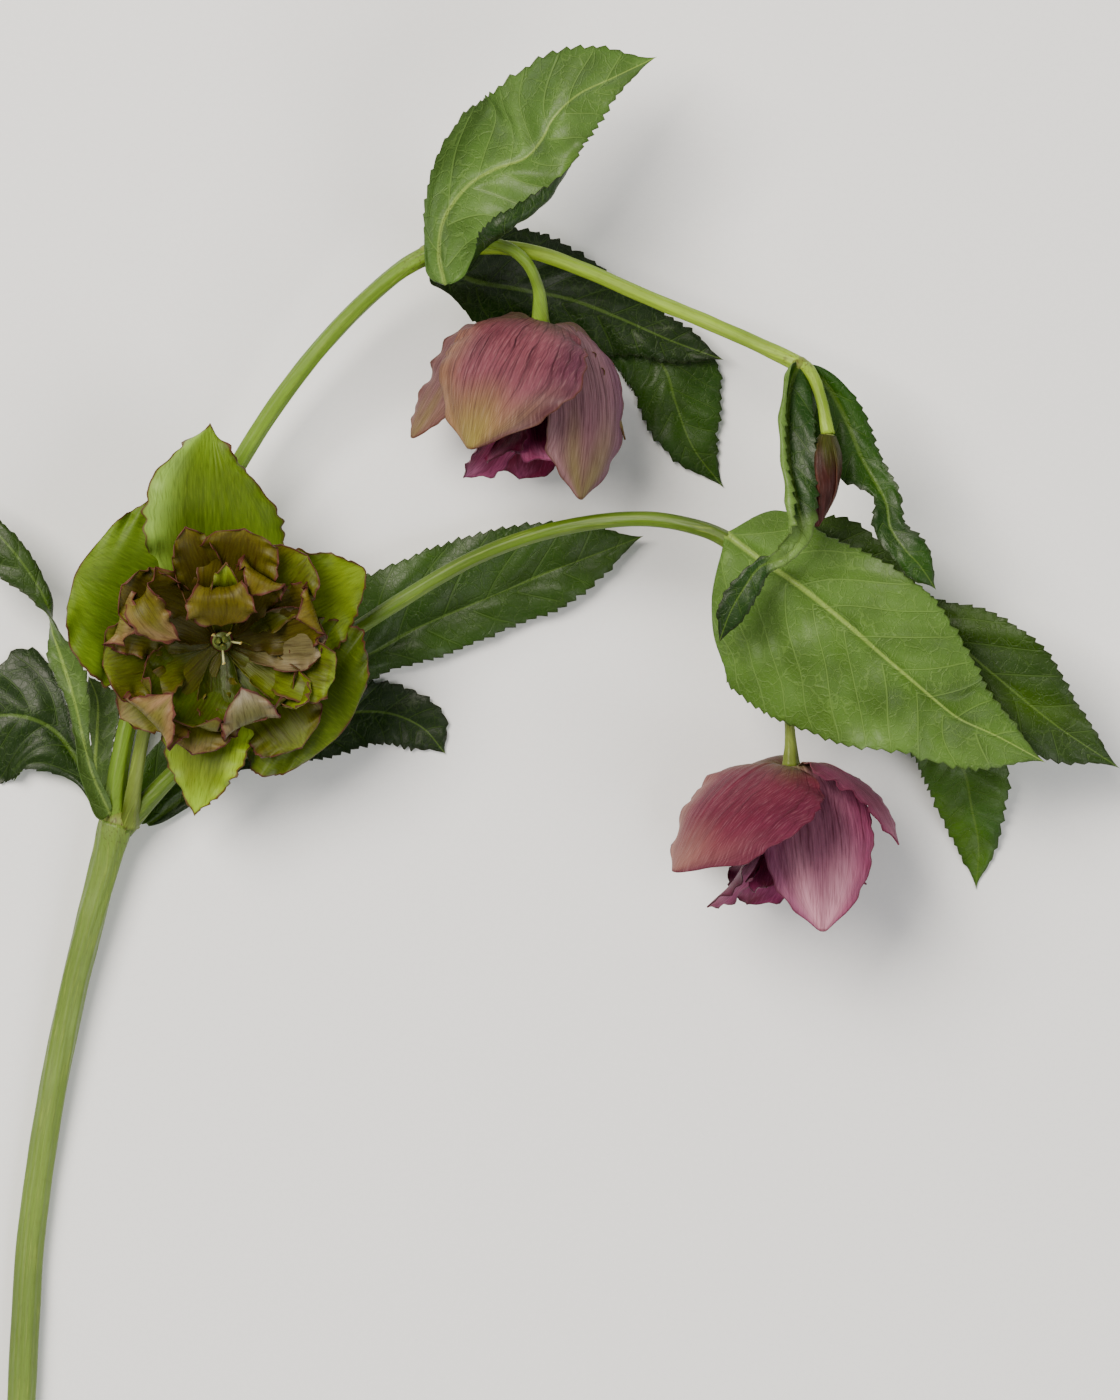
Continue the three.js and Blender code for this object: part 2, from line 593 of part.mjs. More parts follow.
// A petal in its flower's own frame. `profile` lists [distance from the axis, height] from its base to
// its tip, `turn` swings its tip round the axis and `shingle` tips it over its neighbour. The front of a
// petal that folds over turns with its profile; other fronts look in and up all along.
function petal(shape) {
  const { azimuth, turn = 0, shingle = 0, profile, folds = false } = shape;
  const { half, left = half, right = half, cup = 0, roll = 0, wave } = shape;
  const angle = (k) => rad(azimuth + (turn * k) / (profile.length - 1));
  const lean = (k) => {
    const [a, b] = [profile[Math.max(k - 1, 0)], profile[Math.min(k + 1, profile.length - 1)]];
    return folds ? [b[1] - a[1], b[0] - a[0]] : [1, 1];
  };
  return {
    rib: profile.map(([r, h], k) => [r * Math.cos(angle(k)), r * Math.sin(angle(k)), h]),
    face: profile.map((_, k) => {
      const [inward, up] = lean(k);
      return [-inward * Math.cos(angle(k) + rad(shingle)), -inward * Math.sin(angle(k) + rad(shingle)), up];
    }),
    left,
    right,
    cupLeft: cup,
    cupRight: cup,
    rollLeft: roll,
    rollRight: roll,
    wave,
  };
}

// The large outer leaves of each flower, one by one.
const SEPALS = {
  green: [
    {
      azimuth: 93,
      profile: [[1.6, 0.6], [12, 2.2], [25, 4.4], [37, 5], [47.5, 2.4]],
      left: [2.6, 6, 10.5, 14.4, 16.4, 15.6, 13, 7, 0], right: [2.6, 6, 10.5, 14.4, 15, 11.6, 7.4, 3.6, 0],
      cup: 14, roll: -30, wave: [1.7, 2.2, 0.1],
    },
    {
      azimuth: 154,
      profile: [[1.6, 0.6], [9, 3], [19, 6.4], [28, 8.4], [35.2, 8]],
      left: [2.6, 9, 15, 19, 20, 18.4, 13, 4], right: [2.6, 9, 15, 19, 21.4, 21, 16, 6],
      cup: 10, roll: 20, wave: [1.9, 2.4, 0.6],
    },
    {
      azimuth: 217,
      profile: [[1.6, 0.6], [8, 2.4], [16, 4.4], [23, 6], [28, 5.6]],
      half: [2.6, 5, 8, 9.6, 9, 6, 0],
      cup: 12, roll: 10, wave: [1.1, 2, 0.4],
    },
    {
      azimuth: 261,
      profile: [[1.6, 0.6], [9, 2], [19, 3.4], [30, 3.6], [39, 1.4]],
      half: [2.6, 5.6, 9, 10.4, 8.8, 4.8, 0],
      cup: 10, roll: -24, wave: [1.4, 2.2, 0.8],
    },
    {
      azimuth: 325,
      profile: [[1.6, 0.6], [9, 1.6], [18, 3.2], [26, 4.6], [33, 4.4]],
      half: [2.6, 8, 13.4, 17, 19.4, 19, 14.4, 6],
      cup: 8, roll: -10, wave: [1.6, 2.3, 0.3],
    },
    {
      azimuth: 27,
      profile: [[1.6, 0.6], [9, 3.4], [18, 6.6], [27, 8.8], [35, 9.4]],
      half: [2.6, 6.4, 10.4, 12.8, 13, 10.6, 6.4, 2],
      cup: 12, roll: 10, wave: [1.6, 2, 0.9],
    },
  ],
  mauve: [
    {
      azimuth: 104, turn: 24, shingle: 0,
      profile: [[1.8, 0.5], [7, -0.8], [15, 3.4], [20.8, 13.4], [22.6, 29]],
      left: [2.8, 8, 13, 16, 17, 16.4, 13.6, 4], right: [2.8, 7.4, 12, 16, 19.4, 22, 22.4, 15, 4],
      cup: 24, wave: [0.9, 2, 0.2],
    },
    {
      azimuth: 38, shingle: 6,
      profile: [[1.8, 0.5], [7, 0], [12, 6], [15.4, 20], [13.4, 38]],
      half: [2.6, 5, 7.4, 9.4, 11, 12.4, 12.4, 10.4, 3],
      cup: 22, roll: 0, wave: [1.1, 1.8, 0.3],
    },
    {
      azimuth: 352,
      profile: [[1.8, 0.5], [7.4, -0.8], [12.6, 4.6], [16.6, 13], [19.8, 23.6]],
      half: [2.8, 6.4, 9.6, 11, 10.4, 8.8, 6, 0],
      cup: 26, wave: [0.8, 2, 0.5],
    },
    {
      azimuth: 275,
      profile: [[1.8, 0.5], [8, -0.6], [15, 4.4], [20.8, 13], [21.2, 25]],
      half: [2.8, 7, 10.6, 12.6, 12.4, 11, 8, 0],
      cup: 26, wave: [0.6, 2, 0.1],
    },
    {
      azimuth: 184, shingle: -60,
      profile: [[1.8, 0.5], [8, -0.8], [15.4, 4], [20.6, 13], [27, 25.6]],
      half: [2.6, 4, 5.4, 7, 7.6, 7.4, 6.4, 2],
      cup: 16, wave: [1.2, 1.8, 0.7],
    },
  ],
  pink: [
    {
      azimuth: 124, turn: 24, shingle: 0,
      profile: [[1.8, 0.5], [8.4, -0.8], [16.6, 3], [24.6, 10.4], [31, 22.4]],
      left: [2.8, 8, 13, 15.6, 15.6, 14, 10.6, 4], right: [2.8, 9.4, 17, 24, 28, 28.4, 22, 6],
      cup: 20, wave: [0.6, 2, 0.1],
    },
    {
      azimuth: 69, shingle: 4,
      profile: [[1.8, 0.5], [7.4, 0], [12.8, 6], [16.6, 18], [16.4, 36]],
      half: [2.6, 6, 8.6, 10.6, 12.4, 13.4, 13, 10, 3],
      cup: 22, wave: [0.6, 1.7, 0.6],
    },
    {
      azimuth: 24, shingle: -6,
      profile: [[1.8, 0.5], [8, -0.6], [15, 3], [21, 8.8], [25, 17.4]],
      half: [2.8, 7, 10.6, 12, 11.4, 9, 5.6, 0],
      cup: 14, wave: [0.6, 2, 0.4],
    },
    {
      azimuth: 282,
      profile: [[1.8, 0.5], [8, -1], [15.6, 2.6], [21, 12], [20.6, 26]],
      half: [2.8, 7, 11, 13, 13, 11.6, 8, 0],
      cup: 24, wave: [0.6, 2, 0.3],
    },
    {
      azimuth: 207, shingle: -28,
      profile: [[1.8, 0.5], [8.6, -1], [17, 3], [23.4, 9.4], [29.6, 16]],
      half: [2.8, 7, 11, 12.6, 11.8, 9.4, 6, 0],
      cup: 20, wave: [0.9, 1.8, 0.8],
    },
  ],
};

// The frilled petals inside. Those of the green flower stand one by one: the lower ones are a bowl with
// rolled rims, and the upper ones are crowded, ruffled and folded over.
const GREEN_PETALS = [
  {
    azimuth: 236, cup: 30, roll: 40, wave: [0.8, 1.6, 0.1],
    profile: [[1.6, 3], [7, 4], [13.4, 7], [18, 11.6], [19.6, 16]],
    half: [4, 9, 12.4, 13.4, 10.6, 0],
  },
  {
    azimuth: 300, cup: 24, roll: 30, wave: [0.8, 1.7, 0.5],
    profile: [[1.6, 3], [7, 4], [12.6, 6.6], [17, 11], [18.8, 15]],
    half: [4, 9, 12.4, 13, 9.6, 0],
  },
  {
    azimuth: 4, cup: 20, roll: 70, wave: [1, 1.8, 0.3],
    profile: [[1.6, 3], [8, 6], [14, 10], [19.4, 13.4], [23, 15]],
    half: [2, 5, 7.4, 8.6, 7, 0],
  },
  {
    azimuth: 307, cup: 8, wave: [2.6, 2.1, 0.2],
    profile: [[1.6, 3], [10, 3.6], [18, 5.4], [25, 7.4], [29, 8]],
    half: [2, 5, 8, 9, 7.6, 0],
  },
  {
    azimuth: 255, cup: 6, roll: -20, wave: [2.4, 2.2, 0.7],
    profile: [[1.6, 3], [9, 4], [16, 6.4], [21.6, 9], [25.4, 9.6]],
    half: [2, 5, 8, 8.4, 5.6, 0],
  },
  {
    azimuth: 284, turn: 10, folds: true, cup: -10, wave: [0.8, 2, 0.4],
    profile: [[1.6, 3], [10, 5], [16.6, 9.4], [18, 14], [14.6, 16.8], [10, 16]],
    half: [2, 4, 6, 6.6, 6.4, 4.6, 0],
  },
  {
    azimuth: 230, turn: -6, folds: true, cup: 0, wave: [1.2, 2.4, 0.1],
    profile: [[1.6, 3], [10, 5.6], [18, 10], [22.4, 15], [20.4, 18.4], [14.6, 17.4]],
    half: [2, 5, 7, 8, 7, 4.6, 0],
  },
  {
    azimuth: 190, cup: 16, roll: 20, wave: [2.2, 1.8, 0.6],
    profile: [[1.6, 3], [10, 5.4], [17.6, 9.4], [23.4, 13], [26.4, 13.6]],
    half: [2, 6, 9, 10, 8, 0],
  },
  {
    azimuth: 327, cup: 30, roll: 80, wave: [1, 2, 0.2],
    profile: [[1.6, 3], [9, 5.4], [16.4, 9.6], [21, 13.4], [22.4, 16]],
    half: [2, 4, 5.4, 5.6, 4, 0],
  },
  {
    azimuth: 343, cup: 10, roll: 30, wave: [2.6, 2.2, 0.8],
    profile: [[1.6, 3], [10, 6], [17.6, 11], [23.4, 14.6], [25.6, 14]],
    half: [2, 5, 7, 7.4, 5.6, 0],
  },
  {
    azimuth: 92, folds: true, cup: -14, wave: [0.4, 2, 0.2],
    profile: [[1.6, 3.4], [6.4, 9], [10.4, 15], [12.6, 19.4], [10.6, 22], [7, 19.6], [4, 15.4]],
    half: [2, 3.6, 3.6, 3.2, 3.4, 5, 7, 7.6, 5.4, 0],
  },
  {
    azimuth: 112, turn: 62, folds: true, cup: -10, wave: [0.8, 2, 0.5],
    profile: [[1.6, 3.2], [10, 9], [17.4, 14.6], [20, 18.6], [15, 19.4], [9, 15.4]],
    half: [2, 4.6, 5.4, 4.6, 4, 4.6, 3, 0],
  },
  {
    azimuth: 149, cup: 14, roll: 50, wave: [2.2, 2, 0.9],
    profile: [[1.6, 3.2], [10, 8], [17.6, 13], [23, 16], [25.4, 17]],
    half: [2, 5, 7.4, 7.6, 5.6, 0],
  },
  {
    azimuth: 165, folds: true, cup: 6, wave: [1.2, 2.4, 0.3],
    profile: [[1.6, 3.2], [10, 7], [17.6, 11.4], [22.6, 15.4], [21, 18], [17.4, 17]],
    half: [2, 5, 7, 7.6, 6.4, 4, 0],
  },
  {
    azimuth: 107, cup: 26, roll: 70, wave: [1.4, 2.2, 0.4],
    profile: [[1.6, 3.4], [9, 8.4], [16.4, 13], [23, 16.6], [27, 17]],
    half: [2, 4, 6, 6.4, 4.4, 0],
  },
  {
    azimuth: 79, cup: 6, roll: 20, wave: [2.4, 1.9, 0.7],
    profile: [[1.6, 3.4], [9, 9], [16.4, 14.6], [22.6, 18], [26, 18.6]],
    half: [2, 5, 8, 9, 7.4, 0],
  },
  {
    azimuth: 87, cup: 30, roll: 70, wave: [0.8, 2, 0.1],
    profile: [[1.6, 3.4], [6, 9], [10.4, 15], [14.4, 19.4], [18.4, 21]],
    half: [1.6, 3, 4, 4.4, 3, 0],
  },
  {
    azimuth: 60, folds: true, cup: -8, wave: [0.8, 2.2, 0.6],
    profile: [[1.6, 3.4], [8, 9], [13.4, 14.4], [17.4, 18.6], [16.4, 20.8], [12.4, 19.4]],
    half: [2, 4, 5.4, 6, 5.6, 3.6, 0],
  },
  {
    azimuth: 46, cup: 14, roll: 30, wave: [2.4, 2, 0.3],
    profile: [[1.6, 3.2], [10, 8], [18, 12.6], [24, 15], [27, 15.4]],
    half: [2, 5, 7.6, 8, 6, 0],
  },
  {
    azimuth: 20, folds: true, cup: 8, wave: [1.6, 2.2, 0.5],
    profile: [[1.6, 3.2], [9, 7.4], [16, 12], [21, 15.6], [20.6, 18], [17, 18.4]],
    half: [2, 5, 7, 7.4, 6, 4, 0],
  },
];

// Those of the nodding flowers are whorls: rings that are shaken a little by the dice.
const WHORLS = {
  mauve: [
    { count: 6, first: 76, reach: 14.6, height: 31, half: 8, cup: 30, wave: 1.8 },
    { count: 3, first: 100, reach: 9.4, height: 27, half: 6, cup: 40, wave: 1.4 },
  ],
  pink: [
    { count: 6, first: 112, reach: 17.4, height: 27, half: 8, cup: 30, wave: 1.8 },
    { count: 3, first: 50, reach: 10, height: 23, half: 5.6, cup: 44, wave: 1 },
  ],
};
const WHORL_BASE = [1.4, 3]; // distance from the axis, height
const SHINGLE = 24;
const SEPAL_SHINGLE = 12;

function innerPetals(name) {
  if (name === "green") return GREEN_PETALS;
  const roll = dice(name.length * 97 + 11);
  return WHORLS[name].flatMap(({ count, first, reach, height, half, cup, wave }) =>
    Array.from({ length: count }, (_, k) => {
      const size = 0.88 + 0.24 * roll();
      const [r0, h0] = WHORL_BASE;
      const at = (a, b) => [r0 + a * (reach * size - r0), h0 + b * (height * size - h0)];
      return {
        azimuth: first + (360 * k) / count + 12 * (roll() - 0.5),
        profile: [[r0, h0], at(0.3, 0.42), at(0.66, 0.8), at(1, 1)],
        half: [1.6, 0.55 * half, 0.9 * half, half * size, 0.8 * half, 0],
        cup,
        wave: [wave * (0.7 + 0.6 * roll()), 1.3 + roll(), roll()],
        shingle: SHINGLE,
      };
    }),
  );
}

const SEPAL_ROWS = 6;
const SEPAL_SHARES = [0, 0.6, 1];
const PETAL_ROWS = 4;
const FOLDED_ROWS = 7;
const PETAL_SHARES = [0, 0.55, 1];

function sepalsOf(name, grow) {
  const blades = SEPALS[name].map((sepal) => petal({ shingle: SEPAL_SHINGLE, ...sepal }));
  return union([
    ball([0, 0, 1.5], [2.5, 2.5, 1.2], grow),
    ...blades.map((blade) => bladeSolid(blade, SEPAL_ROWS, SEPAL_SHARES, PETAL_THICKNESS, grow)),
  ]);
}

function petalsOf(name, grow) {
  const blades = innerPetals(name).map((shape) => {
    const rows = shape.folds ? FOLDED_ROWS : PETAL_ROWS;
    return bladeSolid(petal(shape), rows, PETAL_SHARES, PETAL_THICKNESS, grow);
  });
  return union([ball([0, 0, 3.8], [2.6, 2.6, 1.6], grow), ...blades]).subtract(solidOf(heart(name)));
}

// The heart of each flower, kept free of petals: a cushion, with stamens round three pointed seed pods.
const HEART_FLOOR = 4.9; // above the flower's seat
const HEART_DEPTH = { green: 7, mauve: 12, pink: 12 };
function heart(name) {
  const depth = HEART_DEPTH[name];
  const cup = new THREE.CylinderGeometry(2.7 + 0.4 * depth, 2.7, depth, 12);
  return cup.rotateX(Math.PI / 2).translate(0, 0, HEART_FLOOR + depth / 2);
}
const STAMENS = {
  green: { count: 4, height: 8 },
  mauve: { count: 7, height: 20 },
  pink: { count: 7, height: 13 },
};
const GOLDEN_ANGLE = 137.5; // degrees from each stamen to the next

function stamensOf(name, grow) {
  const { count, height } = STAMENS[name];
  const floor = HEART_FLOOR + CLEARANCE;
  const cushion = new THREE.CylinderGeometry(1.9, 2.2, 1.2, 10).rotateX(Math.PI / 2);
  const parts = [solidOf(cushion.translate(0, 0, floor + 0.6))];
  for (let k = 0; k < count; k++) {
    const a = rad(GOLDEN_ANGLE * k);
    const [c, s] = [Math.cos(a), Math.sin(a)];
    const lean = 2.2 + (1.7 * k) / count;
    const top = height * (0.86 + 0.14 * Math.sin(3 * k));
    const points = [[1.4 * c, 1.4 * s, floor + 0.5], [lean * c, lean * s, top]];
    const radii = [FILAMENT_RADIUS, FILAMENT_RADIUS];
    const size = [ANTHER[0] + grow, ANTHER[0] + grow, ANTHER[1] + grow];
    const anther = new THREE.OctahedronGeometry(1).scale(...size).translate(...points[1]);
    parts.push(stalk({ points, radii, sides: 3, steps: 1 }, grow), solidOf(anther));
  }
  for (let k = 0; k < 3; k++) {
    const a = rad(45 + 120 * k);
    const bend = [[0.7, 0.5], [0.9, 3], [0.7, 5.4]]; // a pod's distance from the axis, and height
    const points = bend.map(([r, h]) => [r * Math.cos(a), r * Math.sin(a), floor + h]);
    parts.push(stalk({ points, radii: [0.7, 0.65, 0.3], sides: 4, steps: 2 }, grow));
  }
  return union(parts);
}

// The bud: a pointed egg. The edges of its five overlapping sepals stand out as steps.
const BUD_PROFILE = [1.6, 3, 3.6, 3.6, 3.3, 2.6, 1.6, 0.4];
const BUD_SIDES = 15;
const BUD_RINGS = 9;

function budSolid(grow) {
  const position = [];
  const index = [];
  for (let i = 0; i <= BUD_RINGS; i++)
    for (let j = 0; j < BUD_SIDES; j++) {
      const t = i / BUD_RINGS;
      const a = (2 * Math.PI * j) / BUD_SIDES;
      const step = ((5 * j) / BUD_SIDES + 0.9 * t) % 1;
      const r = track(BUD_PROFILE, t) * (1 + 0.1 * step) + grow;
      const past = i === 0 ? -grow : i === BUD_RINGS ? grow : 0;
      position.push(r * Math.cos(a), r * Math.sin(a), CLEARANCE + t * BUD_LENGTH + past);
    }
  tubeFaces(index, BUD_RINGS, BUD_SIDES);
  return solidOf(indexed(position, index));
}

// ---------- materials ----------
const finish = (color, roughness) => new THREE.MeshStandardMaterial({ color, roughness, metalness: 0 });
const STEM_GREEN = finish(0x8ea24f, 0.5);
const LEAF_UPPER = finish(0x35480c, 0.42);
const LEAF_UNDERSIDE = finish(0x748c49, 0.5);
const GREEN_SEPAL = finish(0x7f8f30, 0.5);
const GREEN_PETAL = finish(0x675a1a, 0.5);
const MAUVE_SEPAL = finish(0x92616a, 0.55);
const MAUVE_PETAL = finish(0x7a2a49, 0.5);
const PINK_SEPAL = finish(0x9a5563, 0.55);
const PINK_PETAL = finish(0x944a6a, 0.5);
const BUD_PURPLE = finish(0x4f2d2c, 0.55);
const STAMEN_CREAM = finish(0xc9c48a, 0.6);

// ---------- the whole spray ----------
// Each piece is cut clear of the ones before it, and ends where it meets the surface.
const BENCH = solidOf(new THREE.BoxGeometry(800, 1000, 100).translate(120, 150, 50));
const pieces = [];

function addPiece(name, material, make, frame = new THREE.Matrix4()) {
  const place = (solid) => solid.transform(frame.toArray());
  let solid = place(make(0)).intersect(BENCH);
  for (const { clear } of pieces)
    if (!clear.intersect(solid).isEmpty()) solid = solid.subtract(clear);
  pieces.push({ name, material, frame, solid: largest(solid), clear: place(make(CLEARANCE)) });
}

addPiece("stem", STEM_GREEN, stemSolid);
for (const [name, leaf] of Object.entries(LEAVES))
  addPiece(name, leaf.shows === "upper" ? LEAF_UPPER : LEAF_UNDERSIDE, (grow) =>
    bladeSolid(leaf, leaf.rows, LEAF_SHARES, LEAF_THICKNESS, grow),
  );
addPiece("bud", BUD_PURPLE, budSolid, frameOf(FLOWERS.bud));
for (const [name, sepalFinish, petalFinish] of [
  ["green", GREEN_SEPAL, GREEN_PETAL],
  ["mauve", MAUVE_SEPAL, MAUVE_PETAL],
  ["pink", PINK_SEPAL, PINK_PETAL],
]) {
  const frame = frameOf(FLOWERS[name]);
  addPiece(name + "_sepals", sepalFinish, (grow) => sepalsOf(name, grow), frame);
  addPiece(name + "_petals", petalFinish, (grow) => petalsOf(name, grow), frame);
  addPiece(name + "_stamens", STAMEN_CREAM, (grow) => stamensOf(name, grow), frame);
}

// Each piece hangs in its own flower's frame, and the spray is moved to its origin.
const spray = new THREE.Group();
for (const { name, material, frame, solid } of pieces) {
  const home = new THREE.Group();
  home.applyMatrix4(frame);
  const mesh = new THREE.Mesh(geometryOf(solid.transform(frame.clone().invert().toArray())), material);
  mesh.name = name;
  home.add(mesh);
  spray.add(home);
}
const footprint = new THREE.Box3().setFromObject(spray, true);
spray.position.set(-(footprint.min.x + footprint.max.x) / 2, -(footprint.min.y + footprint.max.y) / 2, 0);

const hellebore = new THREE.Group();
hellebore.add(spray);

export default hellebore;
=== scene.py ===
# %% [markdown]
# # A cut hellebore, lying on a table
#
# This lesson dresses a plain CAD model of a double-flowered hellebore with fine leaves, petals and
# stalks. The plant has a green stem that forks, thirteen toothed leaves, an open green bloom, a mauve
# and a pink bloom that nod, and a bud.
#
# The CAD model gives the places and the sizes. Each of its solids is replaced here by a finer piece of
# the same form. Lengths are in millimetres until a mesh is made, because that is how a plant is
# measured, and Blender then gets metres.

import math

import bpy
import numpy as np
from mathutils import Matrix, Vector


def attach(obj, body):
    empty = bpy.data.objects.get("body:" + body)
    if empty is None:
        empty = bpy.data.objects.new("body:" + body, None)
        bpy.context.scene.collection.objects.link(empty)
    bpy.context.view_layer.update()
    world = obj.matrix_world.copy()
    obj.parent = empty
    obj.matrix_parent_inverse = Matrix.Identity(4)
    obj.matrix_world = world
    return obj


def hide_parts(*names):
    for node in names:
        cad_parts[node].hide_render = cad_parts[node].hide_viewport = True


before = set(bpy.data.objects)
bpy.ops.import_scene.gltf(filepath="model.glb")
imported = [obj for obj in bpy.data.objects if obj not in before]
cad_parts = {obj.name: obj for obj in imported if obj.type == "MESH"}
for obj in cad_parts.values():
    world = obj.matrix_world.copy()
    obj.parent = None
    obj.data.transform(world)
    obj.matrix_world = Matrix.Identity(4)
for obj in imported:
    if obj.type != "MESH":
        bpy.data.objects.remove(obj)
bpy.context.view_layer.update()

# %% [markdown]
# ## Where things are
#
# All places are measured on a bench, from its lower left corner. The CAD model was then moved so that
# its origin is in the middle of the footprint, and the same move is made here. The stalks divide at four
# nodes, which are swellings that the leaves grow from too. Each flower has a seat on its stalk, an axis
# that its mouth looks along, and a zero direction for the azimuths of its petals.

# %% Bench, nodes and flower seats
MM = 0.001  # metres
BENCH_ORIGIN = np.array([110.1037, 130.0442, 0.0])
TABLE_GAP = 0.03  # what lies on the table is this far above it

FORK = [26.4, 126.9, 8.2]
TOP_NODE = [94.6, 250.8, 27.8]
RIGHT_NODE = [162.4, 187, 29.4]
BUD_NODE = [175.3, 226.6, 30.8]

FLOWERS = {
    "green": {"seat": [49.5, 167.2, 22.4], "axis": [0.03, -0.08, 1]},
    "mauve": {"seat": [119, 235.4, 21], "axis": [-0.05, -1, 0.06]},
    "pink": {"seat": [173.6, 139, 21.6], "axis": [0.02, -1, 0.04]},
    "bud": {"seat": [181.3, 211.6, 38], "axis": [-0.13, -1, 0.03]},
}
ZERO = np.array([1.0, 0.0, 0.0])


def unit(v):
    """Vectors of length 1."""
    v = np.asarray(v, float)
    return v / np.linalg.norm(v, axis=-1, keepdims=True)


def flower_frame(name):
    """A flower's seat, and its three directions as the rows of a matrix."""
    axis = unit(FLOWERS[name]["axis"])
    zero = unit(ZERO - axis * (ZERO @ axis))
    return np.array(FLOWERS[name]["seat"], float), np.array([zero, np.cross(axis, zero), axis])


print("flowers:", ", ".join(FLOWERS))

# %% [markdown]
# ## Smooth lines and natural unevenness
#
# A leaf's rib, its width and the curl of its margins all change smoothly along it. Each is given by a
# few values, and a Catmull-Rom spline runs through them, because it passes through every value and
# needs no handles. Growth is never quite even, so a seeded sum of sine waves stands ready to shake any
# line a little, in the same way on each run.

# %% Splines and ripples
RULER_MARKS = 600  # points on a line that its length is measured between
FEWEST_STEPS = 8


def track(values, t):
    """The values at t, from 0 to 1, of a smooth line through evenly spaced values."""
    t = np.asarray(t, float)
    values = np.asarray(values, float)
    if values.ndim == 0:
        return np.full(t.shape, float(values))
    last = len(values) - 1
    padded = np.concatenate([[2 * values[0] - values[1]], values, [2 * values[-1] - values[-2]]])
    s = np.clip(t, 0, 1) * last
    i = np.minimum(s.astype(int), last - 1)
    f = (s - i).reshape(s.shape + (1,) * (values.ndim - 1))
    a, b, c, d = (padded[i + k] for k in range(4))
    return b + 0.5 * f * (c - a + f * (2 * a - 5 * b + 4 * c - d + f * (3 * (b - c) + d - a)))


def heading(points, t, step=1e-4):
    """Unit directions of the line through the points. A longer step evens out its bends."""
    t = np.clip(t, step, 1 - step)
    return unit(track(points, t + step) - track(points, t - step))


def even_steps(points, step):
    """Values of t that lie about one step apart along the line, and the line's length."""
    fine = np.linspace(0, 1, RULER_MARKS)
    lengths = np.linalg.norm(np.diff(track(points, fine), axis=0), axis=1)
    run = np.concatenate([[0], np.cumsum(lengths)])
    count = max(int(round(run[-1] / step)), FEWEST_STEPS)
    return np.interp(np.linspace(0, run[-1], count + 1), run, fine), run[-1]


def ripple(seed, slow, fast, t, waves=6):
    """A seeded, smooth, uneven line about zero that swings by about 1."""
    dice = np.random.default_rng(seed)
    t = np.asarray(t, float)
    out = np.zeros(t.shape)
    for _ in range(waves):  # each has its own speed, start and height
        out += np.sin(2 * np.pi * (dice.uniform(slow, fast) * t + dice.uniform())) * dice.uniform(0.5, 1)
    return out / math.sqrt(waves)


def smooth(low, high, x):
    """0 below low, 1 above high and smooth in between."""
    x = np.clip((np.asarray(x, float) - low) / (high - low), 0, 1)
    return x * x * (3 - 2 * x)


def between(rise, fall, x):
    """0 at both ends and 1 between: it grows over the range rise and fades over the range fall."""
    return smooth(*rise, x) * (1 - smooth(*fall, x))


print("a ripple:", np.round(ripple(1, 1, 3, np.linspace(0, 1, 5)), 2))

# %% [markdown]
# ## Colours
#
# Colours are picked as sRGB hex values, the way a colour card gives them, and shaders work in linear
# light. One function turns the one into the other, with the numbers of the sRGB standard.

# %% Hex to linear light


def colour(hex_value):
    """A linear RGBA colour from an sRGB hex value."""
    parts = [int(hex_value[k : k + 2], 16) / 255 for k in (0, 2, 4)]
    return [c / 12.92 if c <= 0.04045 else ((c + 0.055) / 1.055) ** 2.4 for c in parts] + [1.0]


print("leaf green is", [round(c, 3) for c in colour("35480c")])

# %% [markdown]
# ## From numbers to a mesh
#
# Every piece here is a set of sheets: grids of points with a front, a back and a rim between them. A
# `Piece` gathers the sheets of one named thing and makes one mesh object of them, with what the
# materials need to know at each point:
#
# - UV map `surface`: how far it is sideways from the rib and along it, 100 mm to the unit;
# - UV map `fan`: the share of the half width, and the share of the length;
# - `rim`: millimetres from the margin;
# - `veins`: which side vein is near, counted along the rib, so that whole numbers lie on veins;
# - `tint`: the colour of the skin there.

# %% The Piece class
UV_UNIT = 100.0  # mm of skin in one unit of the UV map `surface`


